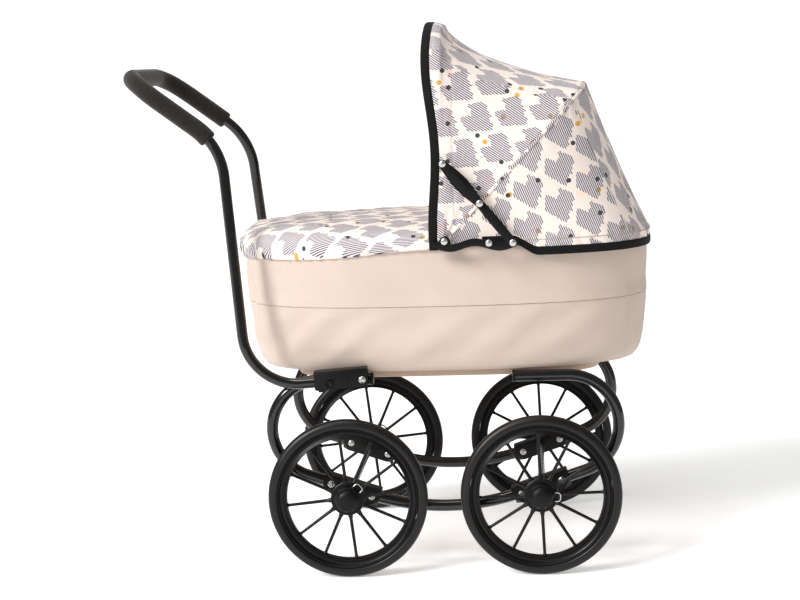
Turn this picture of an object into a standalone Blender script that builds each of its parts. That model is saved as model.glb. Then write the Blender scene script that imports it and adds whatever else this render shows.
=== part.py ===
"""A doll's pram: a fabric carrycot with a folding hood on a bent-tube chassis.

Metres, +Z up. +X is the way the pram is pushed, +Y is its left side. The origin
is on the floor below the middle of the whole pram. Run it with
blender --background --python part.py, or from the text editor.
"""
import math

import bmesh
import bpy
from mathutils import Matrix, Vector

GAP = 0.0003                      # kept between pieces that touch

# --- driving dimensions -----------------------------------------------------
MID_X = 0.0575                    # half way between the axles
WHEELBASE = 0.2106
WHEEL_Y = 0.155                   # middle plane of the wheels
WHEEL_RADIUS = 0.0875
RIM_OUTER = 0.0773
RIM_INNER = 0.0670
TYRE_WIDTH = 0.016
RIM_WIDTH = 0.0125
SPOKES = 12
SPOKE_RADIUS = 0.0017
SPOKE_START = 0.0120              # inside the hub
HUB_RADIUS = 0.0186               # its flange
CAP_RING_RADIUS = 0.0137
AXLE_RADIUS = 0.0035
AXLE_HALF = 0.1650
WHEEL_PHASES = {"rear": 6.0, "front": 1.8}      # degrees that the spokes are turned
CLIP_ANGLES = {"rear": 46.0, "front": -4.0}     # degrees that the clips point above +X
CLIP_WIRE_RADIUS = 0.0007

TUBE_RADIUS = 0.0065              # chassis side tubes
TUBE_Y = 0.110
TUBE_TOP_Z = 0.211
END_BEND_X = 0.137                # from the middle to the centre of each end bend
END_BEND_RADIUS = 0.055
SLOPE = math.radians(18.5)        # fall of the lower run towards the middle
LOW_BEND_RADIUS = 0.264
FREE_END_X = 0.080                # from the middle to the tubes' free ends
PLUG_RADIUS = 0.0071
BRACKET_HALF_LENGTH = 0.0325      # axle brackets
BRACKET_HALF_HEIGHT = 0.0098
BRACKET_WALL = 0.0028
BRACKET_SCREW_X = 0.0235          # from the axle to each screw

TUB_X = 0.0605                    # middle of the carrycot
TUB_FLOOR_Z = 0.2188
TUB_RIM_Z = 0.358
TUB_HALF_LENGTH = 0.228
TUB_HALF_WIDTH = 0.138
TUB_ROUNDNESS = 2.7               # superellipse power of its plan
TUB_WALL = 0.0035
BOARD_HALF_LENGTH = 0.172
BOARD_HALF_WIDTH = 0.0985
BOARD_BOTTOM_Z = 0.2105
APRON_FRONT_X = 0.0590            # where the cover ends, just inside the hood
APRON_SKIN = 0.0022

HANDLE_RADIUS = 0.006
HANDLE_Y = 0.126                  # at the brackets
HANDLE_GRIP_Y = 0.103             # at the grip
NARROW_FROM = 0.150               # distances along the bar between which its legs close in
NARROW_TO = 0.375
GRIP_RADIUS = 0.010
GRIP_START_RIGHT = 0.383          # distances along each leg
GRIP_START_LEFT = 0.404
PIVOT_X = -0.0295                 # handle pivot
PIVOT_Z = 0.2145
HOLDER_TILT = math.radians(3.5)   # the handle's lower run and the channel that holds it
HOLDER_REAR = -0.0530             # the channel, measured from the pivot
HOLDER_FRONT = 0.0055
HOLDER_LOW = -0.0085
HOLDER_TOP = 0.0125
HOLDER_WALL = 0.0025
HOLDER_NEAR = -HANDLE_Y - HANDLE_RADIUS - 0.0005
HOLDER_FAR = -HANDLE_Y + HANDLE_RADIUS + 0.0005
BUTTON_X = -0.0360                # lock button, measured from the pivot
BUTTON_Z = -0.0010
BUTTON_RADIUS = 0.0036
PIVOT_SCREW_RADIUS = 0.0022
HANDLE_CORNERS = [(-0.0260, 0.2147), (-0.1560, 0.2067), (-0.1788, 0.4727), (-0.2695, 0.5416), (-0.2820, 0.5495)]
HANDLE_BENDS = [0, 0.060, 0.078, 0.080, 0]
CROSSBAR_BEND = 0.045

HOOD_X = 0.0665                   # the axis that the hood's bows turn about
HOOD_Z = 0.366
HOOD_ROUNDNESS = 3.0
BOW_RADIUS = 0.00225
BOW_STEPS = 22
BOW_EYE_RADIUS = 0.0056
FRONT_BOW = {"angle": 91.5, "half_width": 0.1515, "height": 0.230}
MIDDLE_BOW = {"angle": 45.7, "half_width": 0.1465, "height": 0.2205}
REAR_BOW = {"angle": -0.5, "half_width": 0.1415, "height": 0.2215}
FABRIC = 0.0012
FABRIC_FOOT = 0.014               # the panels stop this far from the axis
HOOD_LIP = 0.013                  # fabric in front of the front bow
HOOD_SKIRT_Z = 0.349              # lower edge of the fabric behind the hinge plates
FRONT_SAG = 0.0155
LEVEL_SHARE = 0.035               # of the front panel, level behind its bow
BACK_SAG = 0.003
SEAM_SPLIT = 0.25                 # degrees from the middle bow to each panel's edge
ARM_FOOT = (0.1395, 0.363)        # lower arm's rivet on the hinge plate
ARM_ELBOW = (0.1055, 0.406)
ARM_HEAD = (0.0675, 0.449)        # upper arm's rivet on the front bow
ARM_END_HALF = 0.0045
PLATE_Y = (-0.1585, -0.1565)      # layers of the folding arms, right side
LOWER_ARM_Y = (-0.1612, -0.1590)
UPPER_ARM_Y = (-0.1642, -0.1618)
PIN_RADIUS = 0.0019
PIN_HOLE_RADIUS = 0.0022
RIVET_RADIUS = 0.0037
RIVET_HEIGHT = 0.0018
SIDES = {"right": -1, "left": 1}

COLOURS = {
    "black_tube": ((0.012, 0.011, 0.011), 0.25, 0.0),
    "black_plastic": ((0.014, 0.014, 0.014), 0.45, 0.0),
    "wheel_plastic": ((0.010, 0.010, 0.010), 0.35, 0.0),
    "tyre": ((0.016, 0.016, 0.017), 0.6, 0.0),
    "foam": ((0.022, 0.018, 0.017), 0.9, 0.0),
    "steel": ((0.62, 0.62, 0.63), 0.3, 1.0),
    "beige_fabric": ((0.80, 0.70, 0.61), 0.9, 0.0),
    "printed_fabric": ((0.82, 0.78, 0.76), 0.9, 0.0),
    "lining_fabric": ((0.84, 0.80, 0.76), 0.9, 0.0),
    "board": ((0.55, 0.46, 0.38), 0.8, 0.0),
}


# --- small tools ------------------------------------------------------------
def clear_scene():
    for found in list(bpy.data.objects):
        bpy.data.objects.remove(found, do_unlink=True)


def material(name):
    """The one material of that name, made the first time it is asked for."""
    if name in bpy.data.materials:
        return bpy.data.materials[name]
    colour, roughness, metallic = COLOURS[name]
    made = bpy.data.materials.new(name)
    made.use_nodes = True
    shader = made.node_tree.nodes["Principled BSDF"]
    shader.inputs["Base Color"].default_value = (*colour, 1.0)
    shader.inputs["Roughness"].default_value = roughness
    shader.inputs["Metallic"].default_value = metallic
    return made


def add(name, mesh, finish=None):
    """A named object for a mesh, shaded smooth across its shallow edges."""
    made = bpy.data.objects.new(name, mesh)
    bpy.context.collection.objects.link(made)
    if finish:
        mesh.materials.clear()
        mesh.materials.append(material(finish))
        mesh.shade_smooth()
        mesh.set_sharp_from_angle(angle=math.radians(40))
    return made


def to_mesh(bm, name="piece"):
    """A bmesh made a mesh, with its faces pointing out."""
    bmesh.ops.recalc_face_normals(bm, faces=bm.faces[:])
    mesh = bpy.data.meshes.new(name)
    bm.to_mesh(mesh)
    bm.free()
    return mesh


def combine(body, tool, operation):
    """The mesh of body joined with, or cut by, the mesh of tool."""
    first = add("body", body)
    second = add("tool", tool)
    step = first.modifiers.new("combine", "BOOLEAN")
    step.operation = operation
    step.solver = "EXACT"
    step.object = second
    graph = bpy.context.evaluated_depsgraph_get()
    mesh = bpy.data.meshes.new_from_object(first.evaluated_get(graph))
    bpy.data.objects.remove(first)
    bpy.data.objects.remove(second)
    return mesh


def union(body, *tools):
    for tool in tools:
        body = combine(body, tool, "UNION")
    return body


def cut(body, *tools):
    for tool in tools:
        body = combine(body, tool, "DIFFERENCE")
    return body


def moved(mesh, matrix):
    mesh.transform(matrix)
    if matrix.determinant() < 0:
        mesh.flip_normals()
    return mesh


def on_side(mesh, side):
    """A copy of a mesh made for the right side; for the left side it is mirrored."""
    if side == "right":
        return mesh.copy()
    return moved(mesh.copy(), Matrix.Scale(-1, 4, (0, 1, 0)))


def box(low, high):
    """A box between two corners."""
    low, high = Vector(low), Vector(high)
    bm = bmesh.new()
    bmesh.ops.create_cube(bm, size=1.0)
    bmesh.ops.scale(bm, vec=high - low, verts=bm.verts)
    bmesh.ops.translate(bm, vec=(low + high) / 2, verts=bm.verts)
    return to_mesh(bm)


def rod(x, z, y_from, y_to, radius, sides=16):
    """A cylinder along Y."""
    bm = bmesh.new()
    bmesh.ops.create_cone(bm, cap_ends=True, segments=sides, radius1=radius, radius2=radius,
                          depth=abs(y_to - y_from))
    bmesh.ops.rotate(bm, verts=bm.verts, matrix=Matrix.Rotation(math.pi / 2, 3, "X"))
    bmesh.ops.translate(bm, vec=(x, (y_from + y_to) / 2, z), verts=bm.verts)
    return to_mesh(bm)


def turned(profile, steps, closed=True, start=0.0):
    """A profile of (radius, y) points turned about the Y axis."""
    bm = bmesh.new()
    verts = [bm.verts.new((r, y, 0)) for r, y in profile]
    pairs = list(zip(verts, verts[1:]))
    if closed:
        pairs.append((verts[-1], verts[0]))
    edges = [bm.edges.new(pair) for pair in pairs]
    bmesh.ops.spin(bm, geom=verts + edges, cent=(0, 0, 0), axis=(0, 1, 0), angle=2 * math.pi, steps=steps,
                   use_merge=True)
    bmesh.ops.remove_doubles(bm, verts=bm.verts, dist=1e-6)
    bmesh.ops.rotate(bm, verts=bm.verts, matrix=Matrix.Rotation(start, 3, "Y"))
    return to_mesh(bm)


def dome(x, z, y_base, outward, radius, height):
    """A rivet or screw head standing on the plane y_base."""
    profile = [(0, -0.0006), (radius, -0.0006), (radius, height * 0.3), (radius * 0.62, height * 0.9),
               (0, height)]
    mesh = turned([(r, y * outward) for r, y in profile], 10, closed=False)
    return moved(mesh, Matrix.Translation((x, y_base, z)))


def extruded(outline, y_low, y_high):
    """A flat outline of (x, z) points given a thickness along Y."""
    bm = bmesh.new()
    face = bm.faces.new([bm.verts.new((x, y_low, z)) for x, z in outline])
    grown = bmesh.ops.extrude_face_region(bm, geom=[face])
    tops = [item for item in grown["geom"] if isinstance(item, bmesh.types.BMVert)]
    bmesh.ops.translate(bm, vec=(0, y_high - y_low, 0), verts=tops)
    return to_mesh(bm)


def arc(centre, radius, first, last, steps):
    """Points (x, z) on an arc, its angles in radians from +X towards +Z."""
    return [(centre[0] + radius * math.cos(first + (last - first) * i / steps),
             centre[1] + radius * math.sin(first + (last - first) * i / steps)) for i in range(steps + 1)]


def bent(corners, bends, step=math.radians(13)):
    """Straight runs between corners, each corner turned on its own bend radius."""
    corners = [Vector(corner) for corner in corners]
    points = [corners[0]]
    for before, corner, after, radius in zip(corners, corners[1:], corners[2:], bends[1:]):
        arrive = (corner - before).normalized()
        leave = (after - corner).normalized()
        turn = arrive.angle(leave)
        tangent = radius * math.tan(turn / 2)
        inward = (leave - arrive).normalized()
        centre = corner + inward * (radius / math.cos(turn / 2))
        start = corner - arrive * tangent - centre
        steps = max(2, math.ceil(turn / step))
        for i in range(steps + 1):
            angle = turn * i / steps
            points.append(centre + start * math.cos(angle) + arrive * radius * math.sin(angle))
    points.append(corners[-1])
    return points


def tube(points, radius, sides=10):
    """A round bar along points, its ends closed."""
    curve = bpy.data.curves.new("route", "CURVE")
    curve.dimensions = "3D"
    curve.bevel_depth = radius
    curve.bevel_resolution = (sides - 4) // 2
    curve.use_fill_caps = True
    spline = curve.splines.new("POLY")
    spline.points.add(len(points) - 1)
    for point, place in zip(spline.points, points):
        point.co = (*place, 1.0)
    route = bpy.data.objects.new("route", curve)
    bpy.context.collection.objects.link(route)
    graph = bpy.context.evaluated_depsgraph_get()
    mesh = bpy.data.meshes.new_from_object(route.evaluated_get(graph))
    bpy.data.objects.remove(route)
    bm = bmesh.new()
    bm.from_mesh(mesh)
    bmesh.ops.remove_doubles(bm, verts=bm.verts, dist=1e-6)
    return to_mesh(bm)


def superellipse(half_x, half_y, power, count):
    """Points around a rounded oval."""
    points = []
    for i in range(count):
        angle = 2 * math.pi * i / count
        c, s = math.cos(angle), math.sin(angle)
        points.append((half_x * math.copysign(abs(c) ** (2 / power), c),
                       half_y * math.copysign(abs(s) ** (2 / power), s)))
    return points


def lofted(rings):
    """Rings of equal point counts skinned in order, the first and last one closed."""
    bm = bmesh.new()
    loops = [[bm.verts.new(point) for point in ring] for ring in rings]
    for lower, upper in zip(loops, loops[1:]):
        for i in range(len(lower)):
            j = (i + 1) % len(lower)
            bm.faces.new((lower[i], lower[j], upper[j], upper[i]))
    bm.faces.new(loops[0])
    bm.faces.new(loops[-1])
    return to_mesh(bm)


# --- chassis ----------------------------------------------------------------
def low_bend_centre():
    """Height of the low bend's centre, so that the sloping run meets it without a kink."""
    end_z = TUBE_TOP_Z - END_BEND_RADIUS - END_BEND_RADIUS * math.cos(SLOPE)
    end_x = END_BEND_X + END_BEND_RADIUS * math.sin(SLOPE)
    start_x = LOW_BEND_RADIUS * math.sin(SLOPE)
    return end_z - (end_x - start_x) * math.tan(SLOPE) + LOW_BEND_RADIUS * math.cos(SLOPE)


def side_tube_route():
    down = 1.5 * math.pi
    bend_z = TUBE_TOP_Z - END_BEND_RADIUS
    flat = [(MID_X - FREE_END_X, TUBE_TOP_Z)]
    flat += arc((MID_X - END_BEND_X, bend_z), END_BEND_RADIUS, math.pi / 2, down - SLOPE, 13)
    flat += arc((MID_X, low_bend_centre()), LOW_BEND_RADIUS, down - SLOPE, down + SLOPE, 5)
    flat += arc((MID_X + END_BEND_X, bend_z), END_BEND_RADIUS, down + SLOPE, 2.5 * math.pi, 13)
    flat.append((MID_X + FREE_END_X, TUBE_TOP_Z))
    return [Vector((x, -TUBE_Y, z)) for x, z in flat]


def axle_places():
    return {"rear": MID_X - WHEELBASE / 2, "front": MID_X + WHEELBASE / 2}


def side_tube_mesh():
    mesh = tube(side_tube_route(), TUBE_RADIUS, 8)
    return cut(mesh, *[axle_hole(x) for x in axle_places().values()])


def axle_hole(x):
    return rod(x, WHEEL_RADIUS, -TUBE_Y - 0.02, -TUBE_Y + 0.02, AXLE_RADIUS + GAP)


def tube_plug_mesh(end):
    """A cap on a free end of a side tube; end is -1 at the rear and 1 at the front."""
    profile = [(0, GAP), (TUBE_RADIUS, GAP), (PLUG_RADIUS, 0.0008), (PLUG_RADIUS, 0.0024), (0.0058, 0.0034),
               (0, 0.0034)]
    mesh = turned(profile, 12, closed=False)
    turn = Matrix.Rotation(math.pi / 2 * end, 4, "Z")
    place = Matrix.Translation((MID_X + end * FREE_END_X, -TUBE_Y, TUBE_TOP_Z))
    return moved(mesh, place @ turn)


def axle_bracket_mesh(end):
    """A channel pressed over the sloping tube, with a hole for the axle and two screws a side."""
    inner_half = TUBE_RADIUS + 2 * GAP
    outer_half = inner_half + BRACKET_WALL
    x = MID_X + end * WHEELBASE / 2
    place = Matrix.Translation((x, -TUBE_Y, WHEEL_RADIUS)) @ Matrix.Rotation(SLOPE * -end, 4, "Y")
    body = box((-BRACKET_HALF_LENGTH, -outer_half, -BRACKET_HALF_HEIGHT),
               (BRACKET_HALF_LENGTH, outer_half, BRACKET_HALF_HEIGHT))
    channel = box((-0.05, -inner_half, -0.02), (0.05, inner_half, inner_half))
    body = cut(body, channel)
    for along in (-BRACKET_SCREW_X, BRACKET_SCREW_X):
        for side in (-1, 1):
            body = union(body, dome(along, 0, side * outer_half, side, 0.0038, RIVET_HEIGHT))
    return cut(moved(body, place), axle_hole(x))


def build_chassis():
    tube_mesh = side_tube_mesh()
    board = superellipse(BOARD_HALF_LENGTH, BOARD_HALF_WIDTH, 4.0, 28)
    rings = [[(TUB_X + x, y, z) for x, y in board] for z in (BOARD_BOTTOM_Z, TUB_FLOOR_Z - GAP)]
    add("base_board", lofted(rings), "board")
    for side in SIDES:
        add(f"side_tube_{side}", on_side(tube_mesh, side), "black_tube")
        for place, end in (("rear", -1), ("front", 1)):
            add(f"tube_plug_{place}_{side}", on_side(tube_plug_mesh(end), side), "black_plastic")
            add(f"axle_bracket_{place}_{side}", on_side(axle_bracket_mesh(end), side), "black_plastic")
    for place, x in axle_places().items():
        add(f"axle_{place}", rod(x, WHEEL_RADIUS, -AXLE_HALF, AXLE_HALF, AXLE_RADIUS), "steel")


# --- wheels, built with the axis on Y and the outer face towards -Y ----------
def outward(profile):
    return [(r, -y) for r, y in profile]


def rim_mesh():
    half = RIM_WIDTH / 2
    return turned([(RIM_INNER + 0.0012, -half), (RIM_OUTER, -half), (RIM_OUTER, half), (RIM_INNER + 0.0012, half),
                   (RIM_INNER, 0)], 32, start=0.03)


def spoke_meshes():
    """Round spokes that start inside the hub and end inside the rim, and miss each other."""
    bars = []
    for i in range(SPOKES):
        angle = 2 * math.pi * i / SPOKES
        along = Vector((math.cos(angle), 0, math.sin(angle)))
        bars.append(tube([along * SPOKE_START, along * (RIM_INNER + 0.002)], SPOKE_RADIUS, 6))
    return bars


def wheel_mesh():
    """Rim, spokes and hub as one moulding, bored for the axle."""
    mesh = union(rim_mesh(), *spoke_meshes())
    bore = rod(0, 0, -0.05, 0.05, AXLE_RADIUS + GAP, 16)
    return cut(union(mesh, hub_mesh()), bore)


def hub_mesh():
    """The hub before it is bored: a barrel, a flange and a low boss."""
    return turned(outward([(0, -0.0170), (0.0090, -0.0170), (0.0096, -0.0040), (HUB_RADIUS, -0.0040),
                           (HUB_RADIUS, 0.0040), (0.0136, 0.0042), (0.0134, 0.0058), (0, 0.0058)]),
                  16, closed=False, start=0.05)


def tyre_mesh():
    """A tyre with a flat tread, so that a facet of it rests on the floor."""
    steps = 36
    grow = 1 / math.cos(math.pi / steps)
    inner = RIM_OUTER * grow + GAP
    half = TYRE_WIDTH / 2
    outer = WHEEL_RADIUS * grow
    profile = [(inner, -half * 0.9), (outer - 0.0045, -half), (outer, -half * 0.5), (outer, half * 0.5),
               (outer - 0.0045, half), (inner, half * 0.9)]
    return turned(profile, steps, start=math.pi / steps)


def hub_cap_mesh(clip_angle):
    """A hollow dome over the axle's end, with a slot for the wire clip."""
    shell = turned(outward([(0, 0.0060), (CAP_RING_RADIUS, 0.0060), (CAP_RING_RADIUS, 0.0105), (0.0118, 0.0118),
                            (0.0108, 0.0150), (0.0075, 0.0178), (0, 0.0190)]), 16, closed=False)
    hollow = turned(outward([(0, 0.0050), (0.0112, 0.0050), (0.0110, 0.0125), (0, 0.0125)]), 16, closed=False)
    slot = box((0, -0.0088, -0.0062), (0.02, -0.0050, 0.0062))
    slot = moved(slot, Matrix.Rotation(-clip_angle, 4, "Y"))
    return cut(shell, hollow, slot)


def clip_mesh(clip_angle):
    """A wire bent to a U that straddles the axle's groove; its closed end is the finger pull."""
    corners = [(-0.0065, -0.0072, 0.0048), (0.0205, -0.0072, 0.0048), (0.0205, -0.0072, -0.0048),
               (-0.0065, -0.0072, -0.0048)]
    mesh = tube(bent(corners, [0, 0.0022, 0.0022, 0], math.radians(46)), CLIP_WIRE_RADIUS, 6)
    return moved(mesh, Matrix.Rotation(-clip_angle, 4, "Y"))


def build_wheels():
    wheel = wheel_mesh()
    tyre = tyre_mesh()
    for place, x in axle_places().items():
        cap = hub_cap_mesh(math.radians(CLIP_ANGLES[place]))
        clip = clip_mesh(math.radians(CLIP_ANGLES[place]))
        spun = moved(wheel.copy(), Matrix.Rotation(-math.radians(WHEEL_PHASES[place]), 4, "Y"))
        for side, sign in SIDES.items():
            for name, mesh, finish in (("wheel", spun, "wheel_plastic"), ("tyre", tyre, "tyre"),
                                       ("hub_cap", cap, "black_plastic"), ("release_clip", clip, "steel")):
                made = add(f"{name}_{place}_{side}", on_side(mesh, side), finish)
                made.matrix_world = Matrix.Translation((x, sign * WHEEL_Y, WHEEL_RADIUS))


# --- handle -----------------------------------------------------------------
def handle_profile():
    """The side view of the handle as (distance along it, x, z), from its front end to the crossbar."""
    points = bent([(x, 0, z) for x, z in HANDLE_CORNERS], HANDLE_BENDS)
    run = [0.0]
    for before, after in zip(points, points[1:]):
        run.append(run[-1] + (after - before).length)
    return [(s, p.x, p.z) for s, p in zip(run, points)]


def along_profile(profile, s):
    for (s0, x0, z0), (s1, x1, z1) in zip(profile, profile[1:]):
        if s <= s1:
            t = (s - s0) / (s1 - s0)
            return x0 + (x1 - x0) * t, z0 + (z1 - z0) * t
    return profile[-1][1:]


def leg_y(profile, s):
    """Half the distance between the legs: even at the brackets, closing in up to the top bend."""
    t = min(1.0, max(0.0, (s - NARROW_FROM) / (NARROW_TO - NARROW_FROM)))
    return HANDLE_Y + (HANDLE_GRIP_Y - HANDLE_Y) * t


def half_plan(profile):
    """One leg and half the crossbar as (distance along the bar, distance from the middle)."""
    end = profile[-1][0]
    corner = end - CROSSBAR_BEND
    half = [(s, leg_y(profile, s)) for s, x, z in profile if s < corner - 0.004]
    steps = 7
    for i in range(steps + 1):
        angle = math.pi / 2 * i / steps
        half.append((corner + CROSSBAR_BEND * math.sin(angle),
                     HANDLE_GRIP_Y - CROSSBAR_BEND * (1 - math.cos(angle))))
    return half


def leg_points(profile, start, sign):
    """Points of one leg and its half of the crossbar, from a distance along it to the middle."""
    kept = [(start, leg_y(profile, start))] + [pair for pair in half_plan(profile) if pair[0] > start + 0.003]
    points = []
    for s, y in kept:
        x, z = along_profile(profile, s)
        points.append(Vector((x, sign * y, z)))
    return points


def handle_route(right_start=0.0, left_start=0.0):
    """The whole bar from the right leg over the crossbar to the left leg."""
    profile = handle_profile()
    return leg_points(profile, right_start, -1) + leg_points(profile, left_start, 1)[::-1]


def by_pivot(mesh):
    """Places a mesh made around the handle pivot, tilted with the handle's lower run."""
    return moved(mesh, Matrix.Translation((PIVOT_X, 0, PIVOT_Z)) @ Matrix.Rotation(-HOLDER_TILT, 4, "Y"))


def holder_mesh():
    """An upturned channel beside the side tube; the handle's end lies in it and swings out below."""
    roof = 0.0078
    inner_low = -0.0045
    edge = 0.001
    section = [(HOLDER_NEAR - HOLDER_WALL, HOLDER_LOW), (HOLDER_NEAR, HOLDER_LOW), (HOLDER_NEAR, roof),
               (HOLDER_FAR, roof), (HOLDER_FAR, inner_low), (HOLDER_FAR + HOLDER_WALL, inner_low),
               (HOLDER_FAR + HOLDER_WALL, HOLDER_TOP - edge), (HOLDER_FAR + HOLDER_WALL - edge, HOLDER_TOP),
               (HOLDER_NEAR - HOLDER_WALL + edge, HOLDER_TOP), (HOLDER_NEAR - HOLDER_WALL, HOLDER_TOP - edge)]
    swap = Matrix(((0, 1, 0, 0), (1, 0, 0, 0), (0, 0, 1, 0), (0, 0, 0, 1)))
    channel = moved(extruded(section, HOLDER_REAR, HOLDER_FRONT), swap)
    lug = box((HOLDER_REAR + 0.004, HOLDER_NEAR - HOLDER_WALL + 0.0002, HOLDER_LOW - 0.0018),
              (HOLDER_REAR + 0.011, HOLDER_NEAR - 0.0002, HOLDER_LOW + 0.003))
    hole = rod(BUTTON_X, BUTTON_Z, HOLDER_NEAR - 0.01, HOLDER_NEAR + 0.002, BUTTON_RADIUS + 0.0004, 14)
    screw = rod(0, 0, HOLDER_NEAR - 0.01, HOLDER_FAR + 0.008, PIVOT_SCREW_RADIUS + GAP, 10)
    return by_pivot(cut(union(channel, lug), hole, screw))


def pivot_screw_mesh():
    shank = rod(0, 0, HOLDER_NEAR - 0.0034, HOLDER_FAR + 0.0024, PIVOT_SCREW_RADIUS, 10)
    head = dome(0, 0, HOLDER_NEAR - HOLDER_WALL - GAP - 0.0006, -1, 0.0042, 0.0022)
    return by_pivot(union(shank, head))


def handle_tube_mesh():
    """The bent bar, with a hollow for each lock button and a hole for each pivot screw."""
    bar = tube(handle_route(), HANDLE_RADIUS, 8)
    recess = by_pivot(rod(BUTTON_X, BUTTON_Z, -0.1285, -0.14, BUTTON_RADIUS + 0.0005, 14))
    bore = by_pivot(rod(0, 0, -0.115, -0.137, PIVOT_SCREW_RADIUS + GAP, 10))
    return cut(bar, recess, on_side(recess, "left"), bore, on_side(bore, "left"))


def grip_mesh():
    foam = tube(handle_route(GRIP_START_RIGHT, GRIP_START_LEFT), GRIP_RADIUS, 10)
    hole = tube(handle_route(GRIP_START_RIGHT - 0.02, GRIP_START_LEFT - 0.02), HANDLE_RADIUS + 0.0008, 10)
    return cut(foam, hole)


def build_handle():
    add("handle_tube", handle_tube_mesh(), "black_tube")
    add("handle_grip", grip_mesh(), "foam")
    holder = holder_mesh()
    screw = pivot_screw_mesh()
    button = by_pivot(rod(BUTTON_X, BUTTON_Z, HOLDER_NEAR - 0.0042, HOLDER_NEAR + 0.0002, BUTTON_RADIUS, 14))
    for side in SIDES:
        add(f"handle_bracket_{side}", on_side(holder, side), "black_plastic")
        add(f"pivot_screw_{side}", on_side(screw, side), "steel")
        add(f"lock_button_{side}", on_side(button, side), "black_plastic")


# --- carrycot ---------------------------------------------------------------
def oval(half_x, half_y, z, count=36):
    return [(TUB_X + x, y, z) for x, y in superellipse(half_x, half_y, TUB_ROUNDNESS, count)]


def build_carrycot():
    outside = [(0.2050, 0.1085, TUB_FLOOR_Z), (0.2140, 0.1165, 0.2235), (0.2185, 0.1205, 0.2310),
               (0.2220, 0.1265, 0.2500), (0.2260, 0.1330, 0.2950),
               (TUB_HALF_LENGTH, TUB_HALF_WIDTH, 0.3330), (TUB_HALF_LENGTH, TUB_HALF_WIDTH, TUB_RIM_Z)]
    inside = [(TUB_HALF_LENGTH - TUB_WALL, TUB_HALF_WIDTH - TUB_WALL, TUB_RIM_Z), (0.2225, 0.1295, 0.2950),
              (0.2185, 0.1230, 0.2500), (0.2120, 0.1140, 0.2240)]
    add("carrycot_body", lofted([oval(*ring) for ring in outside + inside]), "beige_fabric")
    pad = [(0.196, 0.098, 0.2246), (0.204, 0.106, 0.2300), (0.204, 0.107, 0.2400), (0.194, 0.097, 0.2460)]
    add("mattress", lofted([oval(*ring, 24) for ring in pad]), "lining_fabric")
    build_apron()


def build_apron():
    """The cover over the foot end: a padded skin drawn in under the rim by its elastic hem."""
    clear = 2 * GAP
    inner = [(TUB_HALF_LENGTH + clear, TUB_HALF_WIDTH + clear, 0.3480), (0.2305, 0.1410, 0.3600),
             (0.2290, 0.1395, 0.3670), (0.2200, 0.1310, 0.3745), (0.1950, 0.1080, 0.3800),
             (0.1300, 0.0650, 0.3840)]
    outer = [(half_x + APRON_SKIN, half_y + APRON_SKIN, z + rise)
             for (half_x, half_y, z), rise in zip(inner, (0, 0.0003, 0.0010, 0.0018, 0.0022, 0.0024))]
    mesh = lofted([oval(*ring) for ring in inner[::-1] + outer])
    keep = box((-0.5, -0.5, 0.2), (APRON_FRONT_X, 0.5, 0.6))
    add("apron", combine(mesh, keep, "INTERSECT"), "printed_fabric")


# --- hood -------------------------------------------------------------------
def bow_points(bow, grow=0.0, foot=0.003):
    """Points of a bow's arch, from its right foot over the top to its left foot."""
    half_width = bow["half_width"] + grow
    height = bow["height"] + grow
    angle = math.radians(bow["angle"])
    start = math.asin((foot / height) ** (HOOD_ROUNDNESS / 2))
    points = []
    for i in range(BOW_STEPS + 1):
        theta = start + (math.pi - 2 * start) * i / BOW_STEPS
        across = -half_width * math.copysign(abs(math.cos(theta)) ** (2 / HOOD_ROUNDNESS), math.cos(theta))
        reach = height * abs(math.sin(theta)) ** (2 / HOOD_ROUNDNESS)
        points.append(Vector((HOOD_X + reach * math.cos(angle), across, HOOD_Z + reach * math.sin(angle))))
    return points


def bow_mesh(bow):
    """A wire arch with an eye at each foot."""
    mesh = tube(bow_points(bow), BOW_RADIUS, 6)
    for sign in (-1, 1):
        middle = sign * bow["half_width"]
        mesh = union(mesh, rod(HOOD_X, HOOD_Z, middle - 0.0021, middle + 0.0021, BOW_EYE_RADIUS, 12))
        mesh = cut(mesh, rod(HOOD_X, HOOD_Z, middle - 0.006, middle + 0.006, PIN_HOLE_RADIUS, 10))
    return mesh


def panel_mesh(rows):
    """A fabric panel through rows of points, given its thickness outwards."""
    bm = bmesh.new()
    loops = [[bm.verts.new(point) for point in row] for row in rows]
    for lower, upper in zip(loops, loops[1:]):
        for i in range(len(lower) - 1):
            bm.faces.new((lower[i], lower[i + 1], upper[i + 1], upper[i]))
    bmesh.ops.recalc_face_normals(bm, faces=bm.faces[:])
    probe = bm.faces[len(bm.faces) // 2]
    away = probe.calc_center_median() - Vector((HOOD_X, 0, HOOD_Z))
    if probe.normal.dot(away) < 0:
        bmesh.ops.reverse_faces(bm, faces=bm.faces[:])
    mesh = bpy.data.meshes.new("panel")
    bm.to_mesh(mesh)
    bm.free()
    sheet = add("sheet", mesh)
    thick = sheet.modifiers.new("thickness", "SOLIDIFY")
    thick.thickness = FABRIC
    thick.offset = 1.0
    graph = bpy.context.evaluated_depsgraph_get()
    solid = bpy.data.meshes.new_from_object(sheet.evaluated_get(graph))
    bpy.data.objects.remove(sheet)
    return solid


def between(first, last, share, dip):
    """A row of points part of the way from one bow's row to the next, drawn in by the dip."""
    row = []
    for a, b in zip(first, last):
        point = a.lerp(b, share)
        arm = point - Vector((HOOD_X, point.y, HOOD_Z))
        row.append(point - arm.normalized() * dip * min(1.0, arm.length / 0.2) ** 2)
    return row


def fabric_edge(bow):
    """The line that the fabric follows over a bow."""
    return bow_points(bow, BOW_RADIUS + 2 * GAP, FABRIC_FOOT)


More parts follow.
